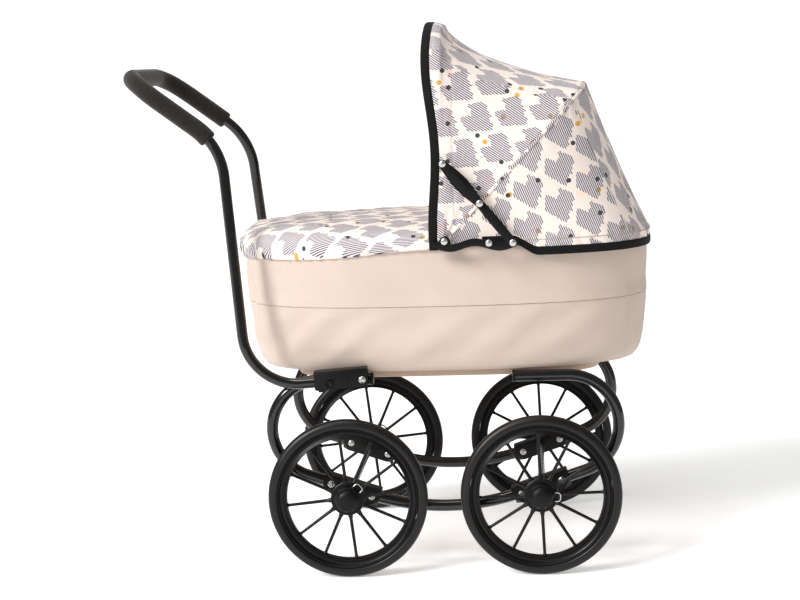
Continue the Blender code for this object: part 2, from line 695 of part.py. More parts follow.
def front_panel_rows():
    """From the lip in front of the front bow to the middle bow; the slack is near the front."""
    first = fabric_edge(FRONT_BOW)
    last = fabric_edge(turned_bow(MIDDLE_BOW, MIDDLE_BOW["angle"] + SEAM_SPLIT))
    rows = [[point - Vector((HOOD_LIP, 0, 0)) for point in first]]
    for share in (0.0, LEVEL_SHARE, 0.12, 0.33, 0.65, 1.0):
        slack = max(0.0, share - LEVEL_SHARE)
        dip = FRONT_SAG * 2.6 * math.sqrt(slack) * (1 - share)
        rows.append(between(first, last, share, dip))
    return rows


def back_panel_rows():
    """From the middle bow down to the rear bow, then a skirt over the carrycot's rim."""
    first = fabric_edge(turned_bow(MIDDLE_BOW, MIDDLE_BOW["angle"] - SEAM_SPLIT))
    last = fabric_edge(REAR_BOW)
    rows = [between(first, last, share, BACK_SAG * 4 * share * (1 - share)) for share in (0.0, 0.5, 0.85, 1.0)]
    rows.append([Vector((point.x, point.y, HOOD_SKIRT_Z)) for point in last])
    return rows


def turned_bow(bow, angle):
    return {**bow, "angle": angle}


def hinge_plate_mesh():
    """The black plate that the arms stand on, with a hole at the bows' axis."""
    rear, front = HOOD_X - 0.006, ARM_FOOT[0] + 0.006
    top, low = HOOD_Z + 0.0050, HOOD_Z - 0.0115
    outline = [(rear, HOOD_Z - 0.004), (rear + 0.004, low), (front - 0.012, low + 0.0008), (front, low + 0.004),
               (front, top - 0.006), (front - 0.003, top - 0.003), (HOOD_X + 0.03, top - 0.001),
               (rear + 0.003, top), (rear, top - 0.003)]
    plate = extruded(outline, *PLATE_Y)
    rivet = dome(ARM_FOOT[0] - 0.0255, ARM_FOOT[1], PLATE_Y[0], -1, RIVET_RADIUS, RIVET_HEIGHT)
    return cut(union(plate, rivet), rod(HOOD_X, HOOD_Z, -0.165, -0.15, PIN_HOLE_RADIUS, 10))


def arm_mesh(start, end, half_middle, layer, pinned):
    """A flat arm between two rivet centres, widest in its middle; pinned ends get a hole."""
    along = Vector((end[0] - start[0], 0, end[1] - start[1]))
    length = along.length
    outline = arc((0, 0), ARM_END_HALF, math.pi * 0.5, math.pi * 1.5, 6)
    outline += [(length * 0.3, -half_middle), (length * 0.7, -half_middle)]
    outline += arc((length, 0), ARM_END_HALF, -math.pi / 2, math.pi / 2, 6)
    outline += [(length * 0.7, half_middle), (length * 0.3, half_middle)]
    turn = Matrix.Rotation(-math.atan2(along.z, along.x), 4, "Y")
    mesh = moved(extruded(outline, *layer), Matrix.Translation((start[0], 0, start[1])) @ turn)
    for x, z in pinned:
        mesh = cut(mesh, rod(x, z, layer[0] - 0.005, layer[1] + 0.005, PIN_HOLE_RADIUS, 10))
    return mesh


def pin_mesh(x, z, y_near, y_far):
    """A rivet with its head on the outside."""
    head = dome(x, z, y_near - 0.0001, -1, RIVET_RADIUS, RIVET_HEIGHT)
    return union(rod(x, z, y_near, y_far, PIN_RADIUS, 10), head)


def build_hood_cover():
    add("hood_bow_front", bow_mesh(FRONT_BOW), "black_plastic")
    add("hood_bow_middle", bow_mesh(MIDDLE_BOW), "black_plastic")
    add("hood_bow_rear", bow_mesh(REAR_BOW), "black_plastic")
    add("hood_panel_front", panel_mesh(front_panel_rows()), "printed_fabric")
    add("hood_panel_back", panel_mesh(back_panel_rows()), "printed_fabric")


def build_hood_arms():
    lower = arm_mesh(ARM_FOOT, ARM_ELBOW, 0.0050, LOWER_ARM_Y, [ARM_ELBOW])
    lower = union(lower, dome(*ARM_FOOT, LOWER_ARM_Y[0], -1, RIVET_RADIUS, RIVET_HEIGHT))
    upper = arm_mesh(ARM_ELBOW, ARM_HEAD, 0.0075, UPPER_ARM_Y, [ARM_ELBOW])
    upper = union(upper, dome(*ARM_HEAD, UPPER_ARM_Y[0], -1, RIVET_RADIUS, RIVET_HEIGHT))
    made = {"hinge_plate": hinge_plate_mesh(), "lower_arm": lower, "upper_arm": upper,
            "elbow_pin": pin_mesh(*ARM_ELBOW, -0.1650, -0.1588),
            "bow_pin": pin_mesh(HOOD_X, HOOD_Z, -0.1593, -0.1388)}
    for side in SIDES:
        for name, mesh in made.items():
            add(f"{name}_{side}", on_side(mesh, side), "steel" if name.endswith("pin") else "black_plastic")


clear_scene()
build_chassis()
build_wheels()
build_handle()
build_carrycot()
build_hood_cover()
build_hood_arms()
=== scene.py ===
# %% [markdown]
# # A doll's pram, dressed
# A pram for dolls has three families of material: black steel tube and moulded plastic
# below, pale cloth stretched over stiff walls in the middle, and a printed hood on wire
# bows above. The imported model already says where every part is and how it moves. This
# lesson makes a finer piece for each part, lets it ride on the body it belongs to, and
# gives it a finish.

# %% Load the frame
import math

import bmesh
import bpy
from mathutils import Matrix, Vector, noise


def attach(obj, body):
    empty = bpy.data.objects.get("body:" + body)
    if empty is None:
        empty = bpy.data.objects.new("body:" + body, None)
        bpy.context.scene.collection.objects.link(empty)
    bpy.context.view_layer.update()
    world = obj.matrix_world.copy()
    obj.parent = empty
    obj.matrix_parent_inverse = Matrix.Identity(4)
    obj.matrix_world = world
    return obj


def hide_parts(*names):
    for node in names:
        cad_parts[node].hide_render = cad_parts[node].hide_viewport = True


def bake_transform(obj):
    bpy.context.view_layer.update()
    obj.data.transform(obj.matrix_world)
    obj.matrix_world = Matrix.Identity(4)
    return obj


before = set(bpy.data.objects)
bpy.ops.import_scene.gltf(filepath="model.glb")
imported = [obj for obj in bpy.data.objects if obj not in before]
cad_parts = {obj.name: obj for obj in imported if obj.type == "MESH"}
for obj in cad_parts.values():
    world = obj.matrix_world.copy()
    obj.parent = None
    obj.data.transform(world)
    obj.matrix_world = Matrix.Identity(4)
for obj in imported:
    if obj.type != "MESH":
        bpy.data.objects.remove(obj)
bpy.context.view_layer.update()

# %% [markdown]
# ## Camera, light and floor
# The pram is seen from its right side, a little from above, with a long lens that keeps
# its wheels round. Broad soft light from the front left, like a window, models the cloth. A
# lamp overhead draws the long highlights on the tubes, and a dim pale room with a white
# wall fills the shadows.

# %% Camera
CAMERA_PLACE = Vector((0.1746, -2.1052, 0.5578))
CAMERA_YAW = math.radians(4.624)
CAMERA_PITCH = math.radians(7.390)
CAMERA_ROLL = math.radians(-2.051)
LENS_MM = 82.656


def camera_axes(yaw, pitch, roll):
    """A turn to the left of +Y, a tilt below the horizon and a roll about the line of sight."""
    forward = Vector((-math.sin(yaw) * math.cos(pitch), math.cos(yaw) * math.cos(pitch), -math.sin(pitch)))
    level = Vector((math.cos(yaw), math.sin(yaw), 0))
    upright = level.cross(forward)
    right = level * math.cos(roll) + upright * math.sin(roll)
    up = upright * math.cos(roll) - level * math.sin(roll)
    return Matrix((right, up, -forward)).transposed()


camera_data = bpy.data.cameras.new("camera")
camera_data.sensor_width = 36
camera_data.lens = LENS_MM
camera = bpy.data.objects.new("camera", camera_data)
camera.matrix_world = camera_axes(CAMERA_YAW, CAMERA_PITCH, CAMERA_ROLL).to_4x4()
camera.location = CAMERA_PLACE
bpy.context.scene.collection.objects.link(camera)
bpy.context.scene.camera = camera
bpy.context.scene.view_settings.view_transform = "Standard"
bpy.context.scene.view_settings.look = "Medium High Contrast"
print("camera", round(CAMERA_PLACE.length, 2), "m from the origin")


# %% Light, room and floor
def soft_light(name, place, target, size, power):
    data = bpy.data.lights.new(name, "AREA")
    data.shape = "DISK"
    data.size = size
    data.energy = power
    lamp = bpy.data.objects.new(name, data)
    lamp.location = place
    lamp.rotation_euler = (Vector(target) - Vector(place)).to_track_quat("-Z", "Y").to_euler()
    bpy.context.scene.collection.objects.link(lamp)


window = bpy.data.lights.new("window", "SUN")
window.energy = 2.45
window.angle = math.radians(24)
window_lamp = bpy.data.objects.new("window", window)
window_lamp.rotation_euler = Vector((0.62, 0.58, -0.55)).to_track_quat("-Z", "Y").to_euler()
bpy.context.scene.collection.objects.link(window_lamp)
soft_light("overhead", (-0.4, -0.5, 2.3), (0.0, 0.0, 0.2), 0.9, 9)
room = bpy.data.worlds.new("pale_room")
room.use_nodes = True
dim_light = room.node_tree.nodes["Background"]
dim_light.inputs["Color"].default_value = (1.0, 0.995, 0.985, 1.0)
dim_light.inputs["Strength"].default_value = 0.31
white_wall = room.node_tree.nodes.new("ShaderNodeBackground")
straight_look = room.node_tree.nodes.new("ShaderNodeLightPath")
either = room.node_tree.nodes.new("ShaderNodeMixShader")
join = room.node_tree.links.new
join(straight_look.outputs["Is Camera Ray"], either.inputs[0])
join(dim_light.outputs[0], either.inputs[1])
join(white_wall.outputs[0], either.inputs[2])
join(either.outputs[0], room.node_tree.nodes["World Output"].inputs["Surface"])
white_wall.inputs["Color"].default_value = (1.0, 1.0, 1.0, 1.0)
bpy.context.scene.world = room
print("a window, a lamp and a pale room")

# %% [markdown]
# ## Tools for finishes
# Every finish is a tree of nodes that ends in one Principled shader. One function adds a
# node with its settings and its links. Colours are written as they look on a screen, as
# hex values, and one function turns them into the linear light that the shader needs.

# %% Colour and nodes
MM = 0.001


def linear(hex_colour):
    """A screen colour such as "#fbefe6" as linear light."""
    shares = [int(hex_colour[i:i + 2], 16) / 255 for i in (1, 3, 5)]
    light = [s / 12.92 if s <= 0.04045 else ((s + 0.055) / 1.055) ** 2.4 for s in shares]
    return (*light, 1.0)


def add_node(finish, kind, inputs=None, **settings):
    """A node of that kind; each input gets a value, or a link where it is given a socket."""
    node = finish.node_tree.nodes.new(kind)
    for name, value in settings.items():
        setattr(node, name, value)
    for name, value in (inputs or {}).items():
        if isinstance(value, bpy.types.NodeSocket):
            finish.node_tree.links.new(value, node.inputs[name])
        else:
            node.inputs[name].default_value = value
    return node


def sum_of(finish, operation, first, second=0.0, third=0.0):
    """One step of arithmetic on numbers and sockets."""
    step = add_node(finish, "ShaderNodeMath", {0: first, 1: second, 2: third}, operation=operation)
    return step.outputs[0]


def new_finish(name, colour, roughness, **sockets):
    """A material with its even values on the shader's own sockets."""
    finish = bpy.data.materials.new(name)
    finish.use_nodes = True
    shader = finish.node_tree.nodes["Principled BSDF"]
    shader.inputs["Base Color"].default_value = linear(colour)
    shader.inputs["Roughness"].default_value = roughness
    for socket, value in sockets.items():
        shader.inputs[socket.replace("_", " ")].default_value = value
    return finish, shader


def mix_colours(finish, share, first, second):
    """A colour between two, each a hex value or a socket."""
    first = linear(first) if isinstance(first, str) else first
    second = linear(second) if isinstance(second, str) else second
    mixer = finish.node_tree.nodes.new("ShaderNodeMix")
    mixer.data_type = "RGBA"
    for index, value in ((0, share), (6, first), (7, second)):
        if isinstance(value, bpy.types.NodeSocket):
            finish.node_tree.links.new(value, mixer.inputs[index])
        else:
            mixer.inputs[index].default_value = value
    return mixer.outputs[2]


def place_of(finish):
    """Where a point is on its piece, in metres."""
    return add_node(finish, "ShaderNodeTexCoord").outputs["Object"]


def grain(finish, size, detail=3.0, at=None):
    """Noise whose features are about that many metres across, from 0 to 1."""
    source = at if at else place_of(finish)
    texture = add_node(finish, "ShaderNodeTexNoise", {"Vector": source, "Scale": 0.5 / size, "Detail": detail})
    return texture.outputs["Fac"]


def raise_surface(finish, shader, height, depth, strength=1.0):
    """Bump of a depth in metres."""
    bump = add_node(finish, "ShaderNodeBump", {"Height": height, "Distance": depth, "Strength": strength})
    finish.node_tree.links.new(bump.outputs["Normal"], shader.inputs["Normal"])


def vary(finish, shader, socket, driver, low, high):
    """Lets a socket follow a pattern between two values."""
    spread = add_node(finish, "ShaderNodeMapRange", {"Value": driver, "From Min": 0.3, "From Max": 0.7,
                                                     "To Min": low, "To Max": high})
    finish.node_tree.links.new(spread.outputs["Result"], shader.inputs[socket])


print("tools for finishes are ready")

# %% [markdown]
# ## Finishes for metal, plastic, foam and rubber
# The black parts of a pram are not one black. Paint on a tube is glossy and a little
# uneven, moulded plastic is satin with a fine spark-eroded grain, foam is dull and
# pitted, and a tyre is between the two. Each one gets its own roughness and bump.

# %% Powder-coated steel tube
# A thin gloss coat, melted on in an oven: sharp highlights over a faint orange peel.
enamel, shader = new_finish("powder_coated_steel_gloss_black", "#0a0808", 0.18, IOR=1.5, Specular_IOR_Level=0.5, Coat_Weight=0.7,
                            Coat_Roughness=0.08)
raise_surface(enamel, shader, grain(enamel, 2.2 * MM, 1.0), 0.02 * MM, 0.35)
vary(enamel, shader, "Roughness", grain(enamel, 14 * MM), 0.14, 0.24)
print("made", enamel.name)

# %% Moulded ABS
# Small fittings from a textured mould: satin, with a grain of about a third of a millimetre.
abs_black, shader = new_finish("moulded_abs_satin_black", "#0d0c0c", 0.42, IOR=1.53, Specular_IOR_Level=0.3)
raise_surface(abs_black, shader, grain(abs_black, 0.35 * MM, 2.0), 0.03 * MM, 0.5)
vary(abs_black, shader, "Roughness", grain(abs_black, 9 * MM), 0.36, 0.5)
print("made", abs_black.name)

# %% Moulded polypropylene wheel
# Wheels come from a polished mould and pick up handling haze: a low sheen on near black.
wheel_black, shader = new_finish("moulded_polypropylene_wheel", "#0e0b0a", 0.36, IOR=1.49, Specular_IOR_Level=0.4)
raise_surface(wheel_black, shader, grain(wheel_black, 0.6 * MM, 2.0), 0.02 * MM, 0.4)
vary(wheel_black, shader, "Roughness", grain(wheel_black, 12 * MM, 5.0), 0.28, 0.48)
print("made", wheel_black.name)

# %% EVA tyre
# Foamed rubber with a closed skin: brownish black, soft broad highlights, a faint dust.
tyre_rubber, shader = new_finish("moulded_eva_tyre", "#14110f", 0.5, IOR=1.48, Specular_IOR_Level=0.5)
dust = grain(tyre_rubber, 6 * MM, 6.0)
tone = mix_colours(tyre_rubber, dust, "#0f0d0c", "#1a1615")
tyre_rubber.node_tree.links.new(tone, shader.inputs["Base Color"])
vary(tyre_rubber, shader, "Roughness", dust, 0.32, 0.46)
raise_surface(tyre_rubber, shader, grain(tyre_rubber, 0.8 * MM, 3.0), 0.05 * MM, 0.5)
print("made", tyre_rubber.name)

# %% NBR foam grip
# Extruded nitrile foam: dull, with torn open cells as fine pits, their colour darkened as painted shade.
grip_foam, shader = new_finish("extruded_nitrile_foam_grip", "#3a3331", 0.92, IOR=1.4, Specular_IOR_Level=0.3, Sheen_Weight=0.25,
                               Sheen_Roughness=0.5)
cells = add_node(grip_foam, "ShaderNodeTexVoronoi", {"Vector": place_of(grip_foam), "Scale": 1 / (1.1 * MM)})
pit_depth_and_shade = grain(grip_foam, 1.6 * MM, 4.0)
# Painted shade: the same noise that sinks the pits darkens the colour there.
tone = mix_colours(grip_foam, pit_depth_and_shade, "#1b1716", "#3b3532")
grip_foam.node_tree.links.new(tone, shader.inputs["Base Color"])
raise_surface(grip_foam, shader, sum_of(grip_foam, "MULTIPLY", cells.outputs["Distance"], pit_depth_and_shade), 0.4 * MM, 0.7)
print("made", grip_foam.name)

# %% Zinc-plated steel
# Rivets, screws and wire from a barrel plater: bright, faintly clouded, finely scratched.
zinc, shader = new_finish("barrel_zinc_plated_steel", "#c9c8c6", 0.26, Metallic=1.0)
vary(zinc, shader, "Roughness", grain(zinc, 1.2 * MM, 4.0), 0.18, 0.36)
raise_surface(zinc, shader, grain(zinc, 0.4 * MM, 2.0), 0.01 * MM, 0.4)
print("made", zinc.name)

# %% [markdown]
# ## Finishes for cloth
# A plain weave is two sets of threads that pass over and under each other. Two wave
# textures at right angles give that, one for the warp and one for the weft. The real
# threads are finer than the render can show, so they are drawn about twice as coarse.

# %% Plain weave
WEAVE_PITCH = 1.1 * MM            # a real canvas has about 0.5 mm, too fine to show


def weave(finish, place, pitch):
    """Threads along both directions of a place, from 0 in the gaps to 1 on the crowns."""
    parts = add_node(finish, "ShaderNodeSeparateXYZ", {"Vector": place})
    waves = []
    for axis in ("X", "Y"):
        turns = sum_of(finish, "MULTIPLY", parts.outputs[axis], math.pi / pitch)
        waves.append(sum_of(finish, "ABSOLUTE", sum_of(finish, "SINE", turns)))
    return sum_of(finish, "MULTIPLY", waves[0], waves[1])


def cloth_finish(name, colour, shade, place_name, pitch=WEAVE_PITCH, sheen=0.15):
    """A woven cloth: a slow drift of tone, painted shade in the gaps between threads, the weave's bump and a soft nap.
    """
    finish, shader = new_finish(name, colour, 0.88, IOR=1.45, Sheen_Weight=sheen, Sheen_Roughness=0.45)
    place = cloth_place(finish, place_name)
    threads = weave(finish, place, pitch)
    tone = mix_colours(finish, grain(finish, 16 * MM, 3.0), shade, colour)
    # Painted shade: the gaps between the threads take the darker shade colour.
    tone = mix_colours(finish, threads, shade, tone)
    finish.node_tree.links.new(tone, shader.inputs["Base Color"])
    raise_surface(finish, shader, threads, 0.18 * MM, 0.5)
    return finish


def cloth_place(finish, name):
    """The piece's UV map, in metres along the cloth."""
    return add_node(finish, "ShaderNodeUVMap", uv_map=name).outputs["UV"]


# The second colour of each cloth is the darker end of its drift of tone and its painted shade in the weave's gaps.
canvas = cloth_finish("plain_weave_cotton_canvas_beige", "#dacdc3", "#cbbaae", "print")
lining = cloth_finish("plain_weave_cotton_lining", "#f1e7dd", "#e3d4c6", "print", 0.9 * MM)
tape = cloth_finish("woven_twill_binding_tape_black", "#1a1716", "#0c0b0a", "print", 0.8 * MM, 0.05)
board_cloth = cloth_finish("cloth_covered_fibreboard", "#d9c6b8", "#c4ad9c", "print")
thread, shader = new_finish("spun_polyester_thread", "#b5a79c", 0.7, IOR=1.45)
vary(thread, shader, "Roughness", grain(thread, 1.0 * MM), 0.6, 0.85)
raise_surface(thread, shader, grain(thread, 0.5 * MM), 0.05 * MM, 0.5)
print("made", canvas.name, lining.name, tape.name, board_cloth.name, thread.name)

# %% [markdown]
# ## Printed cotton
# The hood's cotton is screen printed: cream ground, hearts built of hatch lines in a
# navy ink, and scattered dots in navy, mustard and faint peach. The print is drawn in
# metres on the cloth's own UV map. The hearts sit on a slanted lattice; in each cell a
# point is measured along the heart's axis and across it, and the lines run along it.

# %% Hearts of hatch lines
HEART_HALF_WIDTH = 16.3 * MM
HEART_REACH = 18.3 * MM
LINE_PITCH = 2.1 * MM
LATTICE_A = Vector((math.cos(math.radians(42)), math.sin(math.radians(42)))) * 37 * MM
LATTICE_B = Vector((math.cos(math.radians(-23)), math.sin(math.radians(-23)))) * 39 * MM


def lattice_cell(finish, p, q):
    """Where a point is inside its lattice cell, as metres along and across from the middle."""
    spread = LATTICE_A.x * LATTICE_B.y - LATTICE_A.y * LATTICE_B.x
    a = sum_of(finish, "MULTIPLY_ADD", p, LATTICE_B.y / spread,
               sum_of(finish, "MULTIPLY", q, -LATTICE_B.x / spread))
    b = sum_of(finish, "MULTIPLY_ADD", p, -LATTICE_A.y / spread,
               sum_of(finish, "MULTIPLY", q, LATTICE_A.x / spread))
    a = sum_of(finish, "SUBTRACT", sum_of(finish, "FRACT", a), 0.5)
    b = sum_of(finish, "SUBTRACT", sum_of(finish, "FRACT", b), 0.5)
    along = sum_of(finish, "MULTIPLY_ADD", a, LATTICE_A.x, sum_of(finish, "MULTIPLY", b, LATTICE_B.x))
    across = sum_of(finish, "MULTIPLY_ADD", a, LATTICE_A.y, sum_of(finish, "MULTIPLY", b, LATTICE_B.y))
    return along, across


def heart_ink(finish, p, q):
    """1 where a hatch line of a heart is printed, and 1 all over the heart."""
    along, across = lattice_cell(finish, p, q)
    turns = sum_of(finish, "DIVIDE", across, LINE_PITCH)
    row = sum_of(finish, "FLOOR", turns)
    middle = sum_of(finish, "MULTIPLY", sum_of(finish, "ADD", row, 0.5), LINE_PITCH)
    span = sum_of(finish, "DIVIDE", sum_of(finish, "ABSOLUTE", middle), HEART_HALF_WIDTH)
    seed = add_node(finish, "ShaderNodeTexWhiteNoise", {"W": row}, noise_dimensions="1D").outputs["Value"]
    shake = sum_of(finish, "MULTIPLY_ADD", seed, 4.4 * MM, -2.2 * MM)
    tip = sum_of(finish, "MULTIPLY_ADD", span, -HEART_REACH, HEART_REACH)
    lobe = sum_of(finish, "SINE", sum_of(finish, "MULTIPLY", span, math.pi))
    top = sum_of(finish, "MULTIPLY_ADD", lobe, -0.45 * HEART_REACH, -0.5 * HEART_REACH)
    below_tip = sum_of(finish, "LESS_THAN", sum_of(finish, "ADD", along, shake), tip)
    above_top = sum_of(finish, "GREATER_THAN", sum_of(finish, "ADD", along, shake), top)
    inside = sum_of(finish, "LESS_THAN", span, 0.97)
    within = sum_of(finish, "ABSOLUTE", sum_of(finish, "SUBTRACT", sum_of(finish, "FRACT", turns), 0.5))
    line = sum_of(finish, "LESS_THAN", within, 0.225)
    body = sum_of(finish, "MULTIPLY", sum_of(finish, "MULTIPLY", below_tip, above_top), inside)
    return sum_of(finish, "MULTIPLY", body, line), body


def dots(finish, place, pitch, radius, chosen_above):
    """1 inside some of the round dots on a loose scatter."""
    spots = add_node(finish, "ShaderNodeTexVoronoi", {"Vector": place, "Scale": 1 / pitch, "Randomness": 0.75},
                     voronoi_dimensions="2D")
    near = sum_of(finish, "LESS_THAN", sum_of(finish, "MULTIPLY", spots.outputs["Distance"], pitch), radius)
    pick = add_node(finish, "ShaderNodeSeparateColor", {"Color": spots.outputs["Color"]}).outputs["Red"]
    return sum_of(finish, "MULTIPLY", near, sum_of(finish, "GREATER_THAN", pick, chosen_above))


def printed_finish(name, turn):
    """Printed cotton with its hatch lines turned by an angle from the UV map's first axis."""
    finish, shader = new_finish(name, "#f3e6dd", 0.85, IOR=1.45, Sheen_Weight=0.15, Sheen_Roughness=0.45)
    place = cloth_place(finish, "print")
    turned = add_node(finish, "ShaderNodeVectorRotate", {"Vector": place, "Angle": -turn}, rotation_type="Z_AXIS")
    parts = add_node(finish, "ShaderNodeSeparateXYZ", {"Vector": turned.outputs["Vector"]})
    tone = mix_colours(finish, grain(finish, 18 * MM, 3.0), "#ecddd3", "#f5e8df")
    tone = mix_colours(finish, dots(finish, place, 47 * MM, 5.2 * MM, 0.45), tone, "#f8ddd0")
    tone = mix_colours(finish, dots(finish, turned.outputs["Vector"], 39 * MM, 2.7 * MM, 0.55), tone, "#d9a443")
    ink = mix_colours(finish, grain(finish, 4 * MM, 3.0), "#1d2343", "#353c5f")
    line, body = heart_ink(finish, parts.outputs["X"], parts.outputs["Y"])
    tone = mix_colours(finish, sum_of(finish, "MULTIPLY", body, 0.22), tone, "#a8b1cd")
    tone = mix_colours(finish, line, tone, ink)
    shifted = add_node(finish, "ShaderNodeVectorMath", {0: place, 1: (0.013, 0.021, 0)}, operation="ADD")
    tone = mix_colours(finish, dots(finish, shifted.outputs["Vector"], 33 * MM, 2.5 * MM, 0.42), tone, "#24242f")
    threads = weave(finish, place, 0.9 * MM)
    # Painted highlight: the crowns of the threads are lightened towards white.
    tone = mix_colours(finish, sum_of(finish, "MULTIPLY", threads, 0.12), tone, "#ffffff")
    finish.node_tree.links.new(tone, shader.inputs["Base Color"])
    raise_surface(finish, shader, threads, 0.15 * MM, 0.4)
    return finish


front_print = printed_finish("screen_printed_cotton_hood_front", math.radians(-35))
back_print = printed_finish("screen_printed_cotton_hood_back", math.radians(-68))
apron_print = printed_finish("screen_printed_cotton_cover", 0.0)
print("printed cotton in three directions")

# %% [markdown]
# ## Tools for shapes
# Four shapes make most of this pram: a bar bent along a route, a profile turned about an
# axle, a flat outline given a thickness, and a grid of cloth laid over a form. Each one
# gets a small function, and one more function gives a finished piece its place in the
# scene: outward faces, smooth shading, its finish, and the body that it rides on.


# %% Putting a piece in the scene
def to_scene(name, bm, finish, sharp=38):
    """A bmesh made a named object, merged, facing out and smooth over its shallow edges."""
    bmesh.ops.remove_doubles(bm, verts=bm.verts, dist=1e-6)
    bmesh.ops.recalc_face_normals(bm, faces=bm.faces[:])
    mesh = bpy.data.meshes.new(name)
    bm.to_mesh(mesh)
    bm.free()
    for each in finish if isinstance(finish, (list, tuple)) else [finish]:
        mesh.materials.append(each)
    mesh.shade_smooth()
    mesh.set_sharp_from_angle(angle=math.radians(sharp))
    made = bpy.data.objects.new(name, mesh)
    bpy.context.scene.collection.objects.link(made)
    return made


def settle(made, body, nodes=()):
    """Rides a piece on its body and hides the imported parts that it stands for."""
    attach(made, body)
    if nodes:
        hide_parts(*nodes)
    return made


def mirrored(bm):
    """A copy of a right-hand bmesh for the left side."""
    other = bm.copy()
    bmesh.ops.scale(other, vec=(1, -1, 1), verts=other.verts)
    bmesh.ops.reverse_faces(other, faces=other.faces[:])
    return other


def on_both_sides(name, bm, finish, body, node=None, sharp=38):
    """The same piece on the right and on the left; braces in names become the side."""
    for side, shape in (("right", bm.copy()), ("left", mirrored(bm))):
        made = to_scene(name.format(side), shape, finish, sharp)
        settle(made, body.format(side), [node.format(side)] if node else [])
    bm.free()


def add_part(bm, extra):
    """Puts a second bmesh into the first one."""
    spare = bpy.data.meshes.new("spare")
    extra.to_mesh(spare)
    extra.free()
    bm.from_mesh(spare)
    bpy.data.meshes.remove(spare)
    return bm


print("pieces can be put in the scene")


# %% A bent bar
def bent(corners, bends, step=math.radians(3)):
    """Straight runs between corners, each corner turned on its own bend radius."""
    corners = [Vector(corner) for corner in corners]
    points = [corners[0]]
    for before, corner, after, radius in zip(corners, corners[1:], corners[2:], bends[1:]):
        arrive = (corner - before).normalized()
        leave = (after - corner).normalized()
        turn = arrive.angle(leave)
        centre = corner + (leave - arrive).normalized() * (radius / math.cos(turn / 2))
        start = corner - arrive * (radius * math.tan(turn / 2)) - centre
        steps = max(2, math.ceil(turn / step))
        for i in range(steps + 1):
            angle = turn * i / steps
            points.append(centre + start * math.cos(angle) + arrive * radius * math.sin(angle))
    points.append(corners[-1])
    return points


def bar(points, radius, sides=24, taper=None):
    """A round bar along points; taper gives each point's share of the radius."""
    curve = bpy.data.curves.new("route", "CURVE")
    curve.dimensions = "3D"
    curve.bevel_depth = radius
    curve.bevel_resolution = (sides - 4) // 2
    curve.use_fill_caps = True
    spline = curve.splines.new("POLY")
    spline.points.add(len(points) - 1)
    for i, (point, place) in enumerate(zip(spline.points, points)):
        point.co = (*place, 1.0)
        point.radius = taper[i] if taper else 1.0
    route = bpy.data.objects.new("route", curve)
    bpy.context.scene.collection.objects.link(route)
    graph = bpy.context.evaluated_depsgraph_get()
    mesh = bpy.data.meshes.new_from_object(route.evaluated_get(graph))
    bpy.data.objects.remove(route)
    bm = bmesh.new()
    bm.from_mesh(mesh)
    bpy.data.meshes.remove(mesh)
    bmesh.ops.remove_doubles(bm, verts=bm.verts, dist=1e-6)
    return bm


def arc(centre, radius, first, last, steps):
    """Points (x, z) on an arc, its angles in radians from +X towards +Z."""
    return [(centre[0] + radius * math.cos(first + (last - first) * i / steps),
             centre[1] + radius * math.sin(first + (last - first) * i / steps)) for i in range(steps + 1)]


print("bars can be bent")


# %% A turned profile, a flat outline and a rivet head
def turned(profile, steps, closed=False):
    """A profile of (radius, y) points turned about the Y axis."""
    bm = bmesh.new()
    verts = [bm.verts.new((r, y, 0)) for r, y in profile]
    pairs = list(zip(verts, verts[1:])) + ([(verts[-1], verts[0])] if closed else [])
    edges = [bm.edges.new(pair) for pair in pairs]
    bmesh.ops.spin(bm, geom=verts + edges, cent=(0, 0, 0), axis=(0, 1, 0), angle=2 * math.pi, steps=steps,
                   use_merge=True)
    bmesh.ops.remove_doubles(bm, verts=bm.verts, dist=1e-6)
    return bm


def plate(outline, y_low, y_high, round_over=0.0, cut_at=None):
    """A flat outline of (x, z) points with a thickness along Y and softened edges."""
    bm = bmesh.new()
    face = bm.faces.new([bm.verts.new((x, y_low, z)) for x, z in outline])
    grown = bmesh.ops.extrude_face_region(bm, geom=[face])
    tops = [item for item in grown["geom"] if isinstance(item, bmesh.types.BMVert)]
    bmesh.ops.translate(bm, vec=(0, y_high - y_low, 0), verts=tops)
    if round_over:
        rims = [e for e in bm.edges if abs(e.verts[0].co.y - e.verts[1].co.y) < 1e-7]
        bmesh.ops.bevel(bm, geom=rims, offset=round_over, affect="EDGES", segments=2, profile=0.5, material=-1)
    return bm


def moved(bm, matrix):
    bmesh.ops.transform(bm, matrix=matrix, verts=bm.verts)
    return bm


def dome(x, z, y_base, radius, height):
    """A pressed rivet head on the plane y_base, standing out towards -Y, with a rolled rim."""
    rise = [(radius * share, -height * level) for share, level in
            ((1.0, -0.1), (1.0, 0.12), (0.97, 0.26), (0.86, 0.5), (0.66, 0.78), (0.4, 0.94), (0.18, 0.99), (0, 1.0))]
    bm = turned(rise, 28)
    return moved(bm, Matrix.Translation((x, y_base, z)))


def cross_head(x, z, y_base, radius, height):
    """A screw head with a cross recess: a dome whose middle is pushed in along two bars."""
    bm = dome(0, 0, 0, radius, height)
    bmesh.ops.subdivide_edges(bm, edges=bm.edges[:], cuts=2, use_grid_fill=True)
    for vert in bm.verts:
        across = min(abs(vert.co.x), abs(vert.co.z))
        reach = max(abs(vert.co.x), abs(vert.co.z))
        if across < radius * 0.13 and reach < radius * 0.62:
            vert.co.y += height * 0.6
    return moved(bm, Matrix.Translation((x, y_base, z)))


